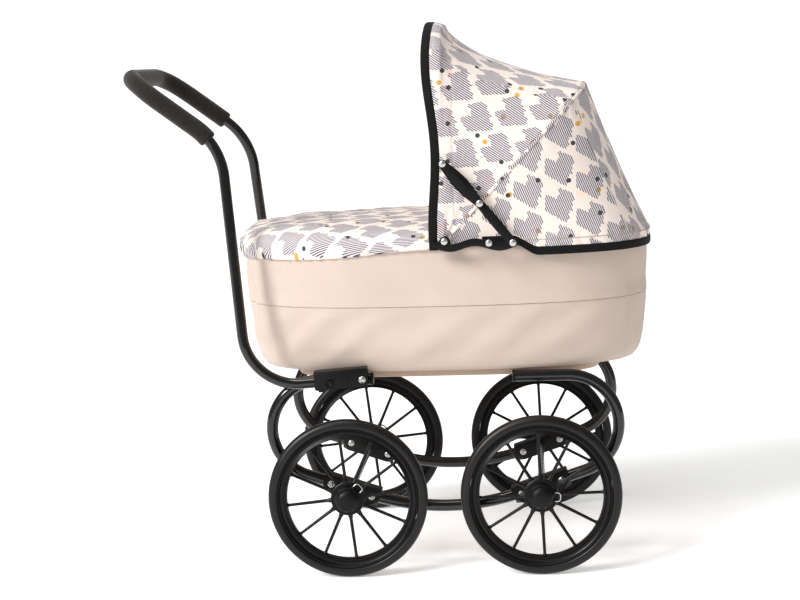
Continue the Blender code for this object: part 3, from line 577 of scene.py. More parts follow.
def box(low, high, soften):
    """A box between two corners with softened edges."""
    low, high = Vector(low), Vector(high)
    bm = bmesh.new()
    bmesh.ops.create_cube(bm, size=1.0)
    bmesh.ops.scale(bm, vec=high - low, verts=bm.verts)
    bmesh.ops.translate(bm, vec=(low + high) / 2, verts=bm.verts)
    bmesh.ops.bevel(bm, geom=bm.edges[:], offset=soften, affect="EDGES", segments=3, profile=0.5, material=-1)
    return bm


print("profiles, outlines and heads can be made")

# %% [markdown]
# ## Chassis tubes
# Each side of the chassis is one steel tube, bent in a machine to a long flat loop whose
# two ends look at each other under the carrycot. A bar along that route gives the same
# thing: 24 sides and a ring every three degrees keep its highlight smooth.

# %% Side tubes
MID_X = 0.0575
WHEELBASE = 0.2106
WHEEL_RADIUS = 0.0875
WHEEL_Y = 0.155
TUBE_RADIUS = 0.0065
TUBE_Y = 0.110
TUBE_TOP_Z = 0.211
END_BEND_X = 0.137
END_BEND_RADIUS = 0.055
SLOPE = math.radians(18.5)
LOW_BEND_RADIUS = 0.264
FREE_END_X = 0.080
AXLES = {"rear": (MID_X - WHEELBASE / 2, -1), "front": (MID_X + WHEELBASE / 2, 1)}


def side_tube_route():
    """Out from one free end, round the end bend, along the sag and back the same way."""
    down = 1.5 * math.pi
    bend_z = TUBE_TOP_Z - END_BEND_RADIUS
    end_z = bend_z - END_BEND_RADIUS * math.cos(SLOPE)
    end_x = END_BEND_X + END_BEND_RADIUS * math.sin(SLOPE)
    low_z = end_z - (end_x - LOW_BEND_RADIUS * math.sin(SLOPE)) * math.tan(SLOPE) + LOW_BEND_RADIUS * math.cos(SLOPE)
    flat = [(MID_X - FREE_END_X, TUBE_TOP_Z)]
    flat += arc((MID_X - END_BEND_X, bend_z), END_BEND_RADIUS, math.pi / 2, down - SLOPE, 48)
    flat += arc((MID_X, low_z), LOW_BEND_RADIUS, down - SLOPE, down + SLOPE, 24)
    flat += arc((MID_X + END_BEND_X, bend_z), END_BEND_RADIUS, down + SLOPE, 2.5 * math.pi, 48)
    flat.append((MID_X + FREE_END_X, TUBE_TOP_Z))
    return [Vector((x, -TUBE_Y, z)) for x, z in flat]


on_both_sides("side_loop_{}", bar(side_tube_route(), TUBE_RADIUS), enamel, "chassis", "side_tube_{}")
PLUG = [(0, 0.0003), (TUBE_RADIUS, 0.0003), (0.0071, 0.0007), (0.0071, 0.0024), (0.0068, 0.0030), (0.0058, 0.0034),
        (0, 0.0035)]
for place, (x, end) in AXLES.items():
    cap = moved(turned(PLUG, 32), Matrix.Rotation(math.pi / 2 * end, 4, "Z"))
    moved(cap, Matrix.Translation((MID_X + end * FREE_END_X, -TUBE_Y, TUBE_TOP_Z)))
    on_both_sides(f"loop_plug_{place}_" + "{}", cap, abs_black, "chassis", f"tube_plug_{place}_" + "{}")
print("tube length", round(sum((b - a).length for a, b in zip(side_tube_route(), side_tube_route()[1:])), 3), "m")

# %% [markdown]
# ## Axle brackets
# A short moulded channel is pressed over each sloping run of tube and held by two screws
# a side, and the axle passes through it. It starts as a box without a floor or ends,
# gets its wall with solidify, and has its corners rounded with bevel.

# %% Channel, screws and axles
CHANNEL_HALF = (0.0325, 0.0099, 0.0098)
CHANNEL_WALL = 0.0027
SCREW_X = 0.0235


def channel(half, wall, corner):
    """Two cheeks and a roof over a tube, open below and at the ends."""
    bm = bmesh.new()
    bmesh.ops.create_cube(bm, size=2.0)
    bmesh.ops.scale(bm, vec=half, verts=bm.verts)
    open_faces = [f for f in bm.faces if abs(f.normal.x) > 0.9 or f.normal.z < -0.9]
    bmesh.ops.delete(bm, geom=open_faces, context="FACES_ONLY")
    low_ends = [v for v in bm.verts if v.co.z < 0]
    bmesh.ops.bevel(bm, geom=low_ends, offset=corner, affect="VERTICES", segments=1, profile=0.5, material=-1)
    bmesh.ops.recalc_face_normals(bm, faces=bm.faces[:])
    if max(bm.faces, key=lambda f: f.calc_center_median().z).normal.z < 0:
        bmesh.ops.reverse_faces(bm, faces=bm.faces[:])
    bmesh.ops.solidify(bm, geom=bm.faces[:], thickness=wall)
    edges = [e for e in bm.edges if len(e.link_faces) == 2 and e.calc_face_angle(0) > 0.5]
    bmesh.ops.bevel(bm, geom=edges, offset=0.0007, affect="EDGES", segments=2, profile=0.5, material=-1)
    return bm


for place, (x, end) in AXLES.items():
    tilt = Matrix.Translation((x, -TUBE_Y, WHEEL_RADIUS)) @ Matrix.Rotation(SLOPE * -end, 4, "Y")
    bracket = channel(CHANNEL_HALF, CHANNEL_WALL, 0.0085)
    for along in (-SCREW_X + 0.011, SCREW_X - 0.011):
        add_part(bracket, box((along - 0.002, -0.0104, -0.0075), (along + 0.002, -0.0097, 0.0075), 0.0003))
    boss = moved(turned([(0.0046, 0.004), (0.0086, 0.004), (0.0086, -0.0014), (0.0080, -0.0020), (0.0046, -0.0020)], 32,
                        closed=True), Matrix.Translation((0, -0.0097, 0)))
    on_both_sides(f"axle_channel_{place}_" + "{}", moved(add_part(bracket, boss), tilt), abs_black, "chassis",
                  f"axle_bracket_{place}_" + "{}")
    screws = cross_head(-SCREW_X, 0, -CHANNEL_HALF[1], 0.0040, 0.0019)
    add_part(screws, cross_head(SCREW_X, 0, -CHANNEL_HALF[1], 0.0040, 0.0019))
    inner_screws = moved(screws.copy(), Matrix.Rotation(math.pi, 4, "Z"))
    add_part(screws, inner_screws)
    on_both_sides(f"channel_screws_{place}_" + "{}", moved(screws, tilt), zinc, "chassis")
    rod = turned([(0, -0.1650), (0.0029, -0.1650), (0.0035, -0.1643), (0.0035, 0.1643), (0.0029, 0.1650), (0, 0.1650)], 32)
    settle(to_scene(f"axle_rod_{place}", moved(rod, Matrix.Translation((x, 0, WHEEL_RADIUS))), zinc), "chassis",
           [f"axle_{place}"])
print("two axles", 0.33, "m long in four channels")

# %% [markdown]
# ## Wheels
# A wheel is one moulding: a hub, twelve round spokes and a dished rim, with a tyre pulled
# over its bead. Rim, tyre, hub and cap are profiles turned about the axle, which is how
# their moulds were made too. The spokes are cones, thicker at the hub.

# %% Rim, spokes and tyre
RIM_OUTER = 0.0773
RIM_INNER = 0.0670
RIM_HALF = 0.00625
TYRE_HALF = 0.008
SPOKES = 12
PHASES = {"rear": 6.0, "front": 1.8}


def both_faces(profile):
    """A profile of (radius, y) on the outer face, mirrored to the inner face and closed."""
    return [(r, -y) for r, y in profile] + [(r, y) for r, y in profile[::-1] if y > 0]


rim_profile = both_faces([(RIM_INNER, 0), (RIM_INNER + 0.0002, 0.0034), (RIM_INNER + 0.0006, 0.0056), (0.0682, 0.0062),
                          (0.0692, 0.0058), (0.0702, 0.0047), (0.0718, 0.0038), (0.0735, 0.0040), (0.0748, 0.0050),
                          (0.0754, 0.0061), (0.0760, 0.0067), (0.0768, 0.0067), (RIM_OUTER, 0.0060), (RIM_OUTER, 0)])


def spoked_wheel(phase):
    """Rim, spokes and hub around the axle, the spokes turned by a phase in degrees."""
    bm = turned(rim_profile, 96, closed=True)
    for i in range(SPOKES):
        spoke = bmesh.new()
        bmesh.ops.create_cone(spoke, cap_ends=True, segments=16, radius1=0.0019, radius2=0.0016,
                              depth=RIM_INNER + 0.001 - 0.012)
        bmesh.ops.translate(spoke, vec=(0, 0, (RIM_INNER + 0.013) / 2), verts=spoke.verts)
        foot = bmesh.new()
        bmesh.ops.create_cone(foot, cap_ends=True, segments=16, radius1=0.0034, radius2=0.0018, depth=0.0075)
        bmesh.ops.translate(foot, vec=(0, 0, 0.0200), verts=foot.verts)
        flare = bmesh.new()
        bmesh.ops.create_cone(flare, cap_ends=True, segments=16, radius1=0.0016, radius2=0.0027, depth=0.0030)
        bmesh.ops.translate(flare, vec=(0, 0, RIM_INNER - 0.0008), verts=flare.verts)
        turn = Matrix.Rotation(math.radians(90 - 30 * i) - math.radians(phase), 4, "Y")
        for part in (spoke, foot, flare):
            add_part(bm, moved(part, turn))
    hub = [(0.0038, 0.0170), (0.0086, 0.0170), (0.0090, 0.0165), (0.0096, 0.0046), (0.0104, 0.0040), (0.0180, 0.0040),
           (0.0186, 0.0034), (0.0186, -0.0032), (0.0180, -0.0038), (0.0170, -0.0040), (0.0166, -0.0034), (0.0152, -0.0034),
           (0.0148, -0.0042), (0.0138, -0.0044), (0.0134, -0.0058), (0.0038, -0.0058)]
    return add_part(bm, turned(hub, 64, closed=True))


TYRE_PROFILE = both_faces([(RIM_OUTER + 0.0002, 0), (RIM_OUTER + 0.0002, 0.0068), (0.0779, 0.0074), (0.0787, 0.0078),
                           (0.0800, 0.0080), (0.0822, 0.0079), (0.0843, 0.0073), (0.0860, 0.0061), (0.0870, 0.0044),
                           (0.0874, 0.0024), (WHEEL_RADIUS, 0)])
for place, (x, end) in AXLES.items():
    centre = Matrix.Translation((x, -WHEEL_Y, WHEEL_RADIUS))
    on_both_sides(f"spoked_wheel_{place}_" + "{}", moved(spoked_wheel(PHASES[place]), centre), wheel_black,
                  f"wheel_{place}_" + "{}", f"wheel_{place}_" + "{}")
    on_both_sides(f"rubber_tyre_{place}_" + "{}", moved(turned(TYRE_PROFILE, 128, closed=True), centre), tyre_rubber,
                  f"wheel_{place}_" + "{}", f"tyre_{place}_" + "{}")
print("four wheels of", round(2000 * WHEEL_RADIUS), "mm with", SPOKES, "spokes")

# %% [markdown]
# ## Hub caps and release clips
# A domed cap covers the axle's end, with a low ring around its foot. A U of steel wire
# slides under it and straddles a groove in the axle: pulling the wire frees the wheel.

# %% Caps and clips
CLIP_ANGLES = {"rear": 46.0, "front": -4.0}
CAP_PROFILE = [(0.0120, -0.0062), (0.0131, -0.0060), (0.0137, -0.0066), (0.0137, -0.0098), (0.0132, -0.0105),
               (0.0127, -0.0108), (0.0124, -0.0116), (0.0122, -0.0130), (0.0115, -0.0150), (0.0101, -0.0167),
               (0.0079, -0.0180), (0.0050, -0.0187), (0.0022, -0.0190), (0, -0.0190)]
CLIP_CORNERS = [(-0.0065, -0.0072, 0.0048), (0.0205, -0.0072, 0.0048), (0.0205, -0.0072, -0.0048),
                (-0.0065, -0.0072, -0.0048)]
for place, (x, end) in AXLES.items():
    turn = Matrix.Rotation(-math.radians(CLIP_ANGLES[place]), 4, "Y")
    centre = Matrix.Translation((x, -WHEEL_Y, WHEEL_RADIUS))
    cap = turned(CAP_PROFILE, 64)
    for side in (-1, 1):
        add_part(cap, moved(box((0.0118, -0.0094, side * 0.0048 - 0.0016), (0.0150, -0.0050, side * 0.0048 + 0.0016),
                                0.0005), turn))
    on_both_sides(f"axle_cap_{place}_" + "{}", moved(cap, centre), abs_black, f"wheel_{place}_" + "{}",
                  f"hub_cap_{place}_" + "{}")
    wire = bar(bent(CLIP_CORNERS, [0, 0.0030, 0.0030, 0], math.radians(10)), 0.0008, 12)
    on_both_sides(f"wire_clip_{place}_" + "{}", moved(moved(wire, turn), centre), zinc, f"clip_{place}_" + "{}",
                  f"release_clip_{place}_" + "{}")
print("four caps and four clips")

# %% [markdown]
# ## Handle
# The handle is a single bar too. It starts under the carrycot, turns up behind it, closes
# in towards the top and ends in a crossbar. Foam tube is pushed over the part that the
# hands hold. Its route is worked out in side view and in plan, and the two are joined.

# %% Handle bar
HANDLE_RADIUS = 0.006
HANDLE_Y = 0.126
HANDLE_GRIP_Y = 0.103
NARROW_FROM = 0.150
NARROW_TO = 0.375
GRIP_RADIUS = 0.010
GRIP_START_RIGHT = 0.383
GRIP_START_LEFT = 0.404
CROSSBAR_BEND = 0.045
HANDLE_CORNERS = [(-0.0260, 0.2147), (-0.1560, 0.2067), (-0.1788, 0.4727), (-0.2695, 0.5416), (-0.2820, 0.5495)]
HANDLE_BENDS = [0, 0.060, 0.078, 0.080, 0]


def handle_profile():
    """The side view as (distance along the bar, x, z), from its front end to the crossbar."""
    points = bent([(x, 0, z) for x, z in HANDLE_CORNERS], HANDLE_BENDS)
    run = [0.0]
    for before, after in zip(points, points[1:]):
        run.append(run[-1] + (after - before).length)
    return [(s, p.x, p.z) for s, p in zip(run, points)]


def along_profile(profile, s):
    for (s0, x0, z0), (s1, x1, z1) in zip(profile, profile[1:]):
        if s <= s1:
            share = (s - s0) / (s1 - s0)
            return x0 + (x1 - x0) * share, z0 + (z1 - z0) * share
    return profile[-1][1:]


def leg_y(s):
    share = min(1.0, max(0.0, (s - NARROW_FROM) / (NARROW_TO - NARROW_FROM)))
    return HANDLE_Y + (HANDLE_GRIP_Y - HANDLE_Y) * share


def leg_points(profile, start, sign):
    """One leg and its half of the crossbar, from a distance along it to the middle."""
    end = profile[-1][0]
    corner = end - CROSSBAR_BEND
    distances = sorted({start, NARROW_FROM, NARROW_TO} | {s for s, x, z in profile} |
                       {start + 0.012 * i for i in range(60)})
    plan = [(s, leg_y(s)) for s in distances if start <= s < corner - 0.002 and (s == start or s > start + 0.001)]
    for i in range(21):
        angle = math.pi / 2 * i / 20
        plan.append((corner + CROSSBAR_BEND * math.sin(angle), HANDLE_GRIP_Y - CROSSBAR_BEND * (1 - math.cos(angle))))
    points = []
    for s, y in plan:
        x, z = along_profile(profile, s)
        points.append(Vector((x, sign * y, z)))
    return points


def handle_route(right_start=0.0, left_start=0.0):
    profile = handle_profile()
    return leg_points(profile, right_start, -1) + leg_points(profile, left_start, 1)[::-1]


settle(to_scene("handle_bar", bar(handle_route(), HANDLE_RADIUS), enamel), "handle", ["handle_tube"])
grip_route = handle_route(GRIP_START_RIGHT, GRIP_START_LEFT)


def rounded_ends(points, radius, soften):
    """Adds rings near both ends and tapers them to a quarter round."""
    def end(first, second):
        along = (second - first).normalized()
        rings = []
        for i in range(6):
            angle = math.pi / 2 * i / 5
            rings.append((first + along * soften * (1 - math.cos(angle)), 1 - soften / radius * (1 - math.sin(angle))))
        return rings
    head = end(points[0], points[1])
    tail = end(points[-1], points[-2])
    inner = [p for p in points[1:-1] if (p - points[0]).length > soften and (p - points[-1]).length > soften]
    rows = head + [(p, 1.0) for p in inner] + tail[::-1]
    return [p for p, share in rows], [share for p, share in rows]


grip_points, grip_taper = rounded_ends(grip_route, GRIP_RADIUS, 0.0028)
settle(to_scene("foam_grip", bar(grip_points, GRIP_RADIUS, 32, grip_taper), grip_foam), "handle",
       ["handle_grip"])
print("handle bar", round(sum((b - a).length for a, b in zip(handle_route(), handle_route()[1:])), 3), "m long")

# %% [markdown]
# ## Handle brackets
# The ends of the handle lie in two moulded channels and turn on a screw. A sprung button
# in the channel's cheek holds the handle up.

# %% Brackets, buttons and pivot screws
PIVOT = Vector((-0.0295, 0, 0.2145))
HOLDER_TILT = math.radians(3.5)
HOLDER_NEAR = -HANDLE_Y - HANDLE_RADIUS - 0.0005
HOLDER_FAR = -HANDLE_Y + HANDLE_RADIUS + 0.0005
HOLDER_WALL = 0.0025
BUTTON = (-0.0360, -0.0010)
at_pivot = Matrix.Translation(PIVOT) @ Matrix.Rotation(-HOLDER_TILT, 4, "Y")
holder = channel((0.02925, HOLDER_FAR / 2 - HOLDER_NEAR / 2 + HOLDER_WALL, 0.0105), HOLDER_WALL, 0.003)
moved(holder, Matrix.Translation((-0.02375, (HOLDER_NEAR + HOLDER_FAR) / 2, 0.0020)))
cheek = HOLDER_NEAR - HOLDER_WALL
add_part(holder, box((-0.049, cheek + 0.0002, -0.0103), (-0.042, HOLDER_NEAR - 0.0002, -0.0055), 0.0006))
collar = turned([(0.0041, 0.0010), (0.0062, 0.0010), (0.0062, -0.0005), (0.0057, -0.0010), (0.0046, -0.0010),
                 (0.0041, -0.0006)], 40, closed=True)
add_part(holder, moved(collar, Matrix.Translation((BUTTON[0], cheek, BUTTON[1]))))
for rib in (-0.0215, -0.0165):
    add_part(holder, box((rib - 0.0008, cheek - 0.0006, -0.0055), (rib + 0.0008, cheek + 0.0004, 0.0095), 0.0003))
on_both_sides("handle_holder_{}", moved(holder, at_pivot), abs_black, "chassis", "handle_bracket_{}")
pivot = cross_head(0, 0, cheek - 0.0002, 0.0042, 0.0022)
shank = [(0, HOLDER_FAR + 0.0040), (0.0034, HOLDER_FAR + 0.0040), (0.0034, HOLDER_FAR + 0.0026), (0.0021, HOLDER_FAR + 0.0026),
         (0.0021, HOLDER_NEAR - 0.0034), (0, HOLDER_NEAR - 0.0034)]
on_both_sides("pivot_bolt_{}", moved(add_part(pivot, turned(shank, 24)), at_pivot), zinc, "chassis",
              "pivot_screw_{}")
knob = turned([(0, cheek + 0.0004), (0.0036, cheek + 0.0004), (0.0036, cheek - 0.0010),
               (0.0033, cheek - 0.0016), (0.0024, cheek - 0.0018), (0.0018, cheek - 0.0015), (0, cheek - 0.0014)], 32)
moved(knob, Matrix.Translation((BUTTON[0], 0, BUTTON[1])))
on_both_sides("press_button_{}", moved(knob, at_pivot), abs_black, "lock_{}", "lock_button_{}")
print("two brackets at", round(PIVOT.x, 4), round(PIVOT.z, 4))

# %% [markdown]
# ## Hood arms
# On each side two flat arms hold the hood open: like a knee, they lock when they are
# almost straight. They are stamped, rounded strips, riveted to a black plate on the
# carrycot's rim and to the front bow. An outline gets a thickness, then softened rims.

# %% Outlines of plate and arms
HOOD_X = 0.0665
HOOD_Z = 0.366
ARM_FOOT = (0.1395, 0.363)
ARM_ELBOW = (0.1055, 0.406)
ARM_HEAD = (0.0675, 0.449)
PLATE_Y = (-0.1585, -0.1565)
LOWER_ARM_Y = (-0.1612, -0.1590)
UPPER_ARM_Y = (-0.1642, -0.1618)
RIVET_RADIUS = 0.0039
RIVET_HEIGHT = 0.0019


def smooth_step(x, low, high):
    """0 below low, 1 above high, eased between."""
    share = min(1.0, max(0.0, (x - low) / (high - low)))
    return share * share * (3 - 2 * share)


def plate_low(x):
    """The plate's lower edge waves twice along its length."""
    return HOOD_Z - 0.0086 - 0.0028 * math.cos(2 * math.pi * (x - 0.0729) / 0.0527)


def plate_top(x):
    """A strip's width above the lower edge, and round shoulders over its three rivets."""
    top = plate_low(x) + 0.0082
    for rivet_x, rivet_z in ((HOOD_X, HOOD_Z), (ARM_FOOT[0] - 0.0255, ARM_FOOT[1]), ARM_FOOT):
        inside = 1 - ((x - rivet_x) / 0.0068) ** 2
        if inside > 0:
            top = max(top, rivet_z - 0.0050 + 0.0100 * math.sqrt(inside))
    return top


def plate_outline():
    """Waved below, with round shoulders above, and round ends."""
    rear, front, steps = HOOD_X - 0.0130, ARM_FOOT[0] + 0.0060, 60
    xs = [rear + (front - rear) * i / steps for i in range(steps + 1)]
    low = [(x, plate_low(x) + 0.0025 * (1 - smooth_step(x - rear, 0, 0.003)) +
            0.0025 * (1 - smooth_step(front - x, 0, 0.003))) for x in xs]
    top = [(x, plate_top(x)) for x in xs]
    return low + top[::-1]


def arm_outline(length, half_middle, half_end=0.0045):
    """A strip with round ends, widest in its middle, along +X from the first rivet."""
    lower = [(length * i / 16, -half_end - (half_middle - half_end) * math.sin(math.pi * i / 16) ** 1.2)
             for i in range(1, 16)]
    return (arc((0, 0), half_end, math.pi * 0.5, math.pi * 1.5, 12) + lower +
            arc((length, 0), half_end, -math.pi / 2, math.pi / 2, 12) + [(x, -z) for x, z in lower[::-1]])


def arm(start, end, half_middle, layer):
    along = Vector((end[0] - start[0], 0, end[1] - start[1]))
    turn = Matrix.Rotation(-math.atan2(along.z, along.x), 4, "Y")
    shape = plate(arm_outline(along.length, half_middle), *layer, round_over=0.0005)
    return shape, Matrix.Translation((start[0], 0, start[1])) @ turn, along.length


base = plate(plate_outline(), *PLATE_Y, round_over=0.0006)
on_both_sides("hood_base_plate_{}", base, abs_black, "chassis", "hinge_plate_{}")
lower, lower_place, lower_length = arm(ARM_FOOT, ARM_ELBOW, 0.0052, LOWER_ARM_Y)
hole_rim = turned([(0.0016, 0.0002), (0.0026, 0.0002), (0.0026, -0.0005), (0.0022, -0.0007), (0.0016, -0.0002)], 4,
                  closed=True)
moved(hole_rim, Matrix.Translation((lower_length * 0.45, LOWER_ARM_Y[0], 0)) @ Matrix.Rotation(math.pi / 4, 4, "Y"))
on_both_sides("lower_strut_{}", moved(add_part(lower, hole_rim), lower_place), abs_black, "lower_arm_{}",
              "lower_arm_{}")
upper, upper_place, upper_length = arm(ARM_ELBOW, ARM_HEAD, 0.0078, UPPER_ARM_Y)
catch = plate(arm_outline(0.0145, 0.0052, 0.0036), UPPER_ARM_Y[0] - 0.0012, UPPER_ARM_Y[0] + 0.0004, 0.0005)
moved(catch, Matrix.Translation((upper_length * 0.42, 0, 0)))
for i in range(4):
    ridge = box((upper_length * 0.42 + 0.0030 + 0.0024 * i, UPPER_ARM_Y[0] - 0.0019, -0.0034),
                (upper_length * 0.42 + 0.0040 + 0.0024 * i, UPPER_ARM_Y[0] - 0.0010, 0.0034), 0.0003)
    add_part(catch, ridge)
on_both_sides("upper_strut_{}", moved(add_part(upper, catch), upper_place), abs_black, "upper_arm_{}",
              "upper_arm_{}")
print("arms", round(1000 * lower_length), "and", round(1000 * upper_length), "mm between rivets")

# %% Rivets
rivets = {"plate_rivet_{}": (ARM_FOOT[0] - 0.0255, ARM_FOOT[1], PLATE_Y[0], "chassis", None),
          "foot_rivet_{}": (*ARM_FOOT, LOWER_ARM_Y[0], "lower_arm_{}", None),
          "head_rivet_{}": (*ARM_HEAD, UPPER_ARM_Y[0], "upper_arm_{}", None),
          "elbow_rivet_{}": (*ARM_ELBOW, -0.1650, "lower_arm_{}", "elbow_pin_{}"),
          "bow_rivet_{}": (HOOD_X, HOOD_Z, -0.1593, "chassis", "bow_pin_{}")}
for name, (x, z, y, body, node) in rivets.items():
    head = dome(x, z, y, RIVET_RADIUS, RIVET_HEIGHT)
    if node:
        deep = -0.1588 if "elbow" in name else -0.1388
        pin = turned([(0, y), (0.0019, y), (0.0019, deep), (0, deep)], 24)
        add_part(head, moved(pin, Matrix.Translation((x, 0, z))))
    on_both_sides(name, head, zinc, body, node)
print(2 * len(rivets), "rivets")

# %% [markdown]
# ## Laying cloth
# Cloth starts as a flat grid, like cloth on a cutting table. Every point of the grid is
# laid on the form, and its place on the table, in metres, is kept as a UV map, so that
# weave and print follow the cloth round corners at their real size.


# %% A grid laid on a form
def laid_cloth(columns, rows, place):
    """A grid whose point (u, v) goes to place(u, v), which also gives its spot on the cloth and its fold share."""
    bm = bmesh.new()
    bmesh.ops.create_grid(bm, x_segments=columns, y_segments=rows, size=0.5)
    uv = bm.loops.layers.uv.new("print")
    fold = bm.verts.layers.float.new("fold_share")
    spots = {}
    for vert in bm.verts:
        point, spot, share = place(vert.co.x + 0.5, vert.co.y + 0.5)
        vert.co = point
        vert[fold] = share
        spots[vert] = spot
    for face in bm.faces:
        for loop in face.loops:
            loop[uv].uv = spots[loop.vert]
    return bm


def along(stations, share):
    """A smooth curve through equally spaced stations of equal-length tuples."""
    span = share * (len(stations) - 1)
    i = min(int(span), len(stations) - 2)
    t = span - i
    before, a, b, after = (stations[max(0, i - 1)], stations[i], stations[i + 1],
                           stations[min(len(stations) - 1, i + 2)])
    return [0.5 * (2 * q + (r - p) * t + (2 * p - 5 * q + 4 * r - s) * t * t + (3 * q - p - 3 * r + s) * t ** 3)
            for p, q, r, s in zip(before, a, b, after)]


def soft_noise(x, y, seed=0.0):
    """Smooth noise between about -1 and 1."""
    return noise.noise(Vector((x, y, seed)))


def thick_cloth(made, thickness):
    """Gives a sheet its thickness inwards, with the second finish inside, and applies it."""
    step = made.modifiers.new("thickness", "SOLIDIFY")
    step.thickness = thickness
    step.offset = -1.0
    step.material_offset = 1
    step.material_offset_rim = 0
    graph = bpy.context.evaluated_depsgraph_get()
    mesh = bpy.data.meshes.new_from_object(made.evaluated_get(graph), preserve_all_data_layers=True, depsgraph=graph)
    made.modifiers.clear()
    made.data = mesh
    return made


def facing_out(made, probe, away):
    """Turns an open sheet over if the face nearest a point doesn't look along a direction."""
    face = min(made.data.polygons, key=lambda f: (f.center - Vector(probe)).length)
    if face.normal.dot(Vector(away)) < 0:
        made.data.flip_normals()
    return made


print("cloth can be laid")

# %% [markdown]
# ## Carrycot
# Canvas is stretched over a stiff oval wall and turned over its rim, with a seam around
# it at about half height. Tension leaves soft folds where the wall curves most, and a few
# slack diagonals below the seam. One closed skin carries outside, rim and lining.

# %% Carrycot skin
TUB_X = 0.0605
TUB_ROUNDNESS = 2.7
SEAM_Z = 0.2930
TUB_OUTSIDE = [(0.1700, 0.0850, 0.2188), (0.2060, 0.1092, 0.2189), (0.2128, 0.1154, 0.2218), (0.2172, 0.1192, 0.2280),
               (0.2198, 0.1225, 0.2370), (0.2222, 0.1266, 0.2520), (0.2243, 0.1298, 0.2735), (0.2259, 0.1328, 0.2930),
               (0.2273, 0.1358, 0.3150), (0.2280, 0.1378, 0.3330), (0.2281, 0.1380, 0.3500), (0.2275, 0.1374, 0.3572),
               (0.2262, 0.1362, 0.3583), (0.2247, 0.1348, 0.3570)]
TUB_INSIDE = [(0.2247, 0.1348, 0.3570), (0.2242, 0.1338, 0.3400), (0.2225, 0.1295, 0.2950), (0.2185, 0.1230, 0.2500),
              (0.2150, 0.1180, 0.2310), (0.2080, 0.1110, 0.2238), (0.1700, 0.0850, 0.2236)]


def oval(half_x, half_y, angle):
    """A point of the rounded oval and its outward direction in plan."""
    c, s = math.cos(angle), math.sin(angle)
    power = 2 / TUB_ROUNDNESS
    x = half_x * math.copysign(abs(c) ** power, c)
    y = half_y * math.copysign(abs(s) ** power, s)
    slope = Vector((math.copysign(abs(x / half_x) ** (TUB_ROUNDNESS - 1), x) / half_x,
                    math.copysign(abs(y / half_y) ** (TUB_ROUNDNESS - 1), y) / half_y, 0))
    return Vector((x, y, 0)), slope.normalized()


def even_angles(half_x, half_y, count):
    """Angles of the oval at equal steps along its edge, and the edge's length."""
    fine = 1440
    points = [oval(half_x, half_y, 2 * math.pi * i / fine)[0] for i in range(fine + 1)]
    run = [0.0]
    for before, after in zip(points, points[1:]):
        run.append(run[-1] + (after - before).length)
    angles, j = [], 0
    for i in range(count + 1):
        wanted = run[-1] * i / count
        while j < fine - 1 and run[j + 1] < wanted:
            j += 1
        share = (wanted - run[j]) / max(1e-9, run[j + 1] - run[j])
        angles.append(2 * math.pi * (j + min(1.0, share)) / fine)
    return angles, run[-1]


TUB_COLUMNS = 320
tub_angles, tub_edge = even_angles(0.228, 0.138, TUB_COLUMNS)


def canvas_fold(x, y, z, turn):
    """How far the canvas stands out: seam, folds at the ends, slack diagonals."""
    side = math.copysign(1, y)
    foot = smooth_step(-x, 0.095, 0.165)
    head = smooth_step(x, 0.215, 0.280)
    level = (z - 0.225) / 0.13
    arch = max(0.0, math.sin(math.pi * min(1.0, max(0.0, level))))
    folds = math.sin(turn * 23 + 2.2 * soft_noise(turn * 3, level * 1.2, side)) + 0.6 * math.sin(turn * 41 + level * 3)
    out = (0.0015 * foot + 0.0009 * head) * folds * (0.35 + 0.65 * arch)
    out += 0.0013 * soft_noise(x * 9, z * 16, side) * arch
    slant = soft_noise((x - (z - SEAM_Z) * 1.1) * 26, side * 3.1 + (x + z) * 6, 5.0)
    out += 0.0030 * slant * smooth_step(SEAM_Z + 0.004 - z, 0, 0.02) * smooth_step(z, 0.222, 0.245)
    drape = soft_noise((x + (z - SEAM_Z) * 0.8) * 19, side * 7.1 + (x - z) * 5, 15.0)
    out += 0.0026 * drape * smooth_step(z, SEAM_Z, SEAM_Z + 0.02) * smooth_step(0.352 - z, 0, 0.02)
    tuck = soft_noise(turn * 24, 1.7, 9.0)
    out += 0.0007 * tuck * math.exp(-abs(z - SEAM_Z) / 0.006)
    pinch = math.exp(-((z - SEAM_Z) / 0.0002) ** 2)
    lap = 0.0009 * smooth_step(z, SEAM_Z - 0.0001, SEAM_Z + 0.0003) * smooth_step(SEAM_Z + 0.016 - z, 0, 0.014)
    return out - 0.0009 * pinch + lap


TUB_ROWS = 104
SEAM_ROW = 56                     # three rows lie close together here, for a crisp seam
CLOSE_ROWS = {SEAM_ROW - 1: (SEAM_ROW - 0.14) / TUB_ROWS, SEAM_ROW + 1: (SEAM_ROW + 0.14) / TUB_ROWS}


def tub_wall(stations, lining_side):
    def place(u, v):
        angle = tub_angles[min(TUB_COLUMNS, round(u * TUB_COLUMNS))]
        if not lining_side:
            v = CLOSE_ROWS.get(round(v * TUB_ROWS), v)
        half_x, half_y, z = along(stations, v)
        point, away = oval(half_x, half_y, angle)
        point = Vector((TUB_X + point.x, point.y, z))
        if not lining_side:
            point += away * canvas_fold(point.x, point.y, z, u * 2 * math.pi)
        else:
            point += away * 0.0006 * soft_noise(point.x * 20, point.y * 20, z * 20)
        return point, (u * tub_edge, z), 0.0
    return place


def close_floor(bm, z, material_index):
    """Fills the open ring at a height with one soft face."""
    ring = [e for e in bm.edges if e.is_boundary and abs(e.verts[0].co.z - z) < 0.0012
            and abs(e.verts[1].co.z - z) < 0.0012 and abs(e.verts[0].co.y) < 0.09]
    filled = bmesh.ops.holes_fill(bm, edges=ring, sides=0)
    for face in filled["faces"]:
        face.material_index = material_index


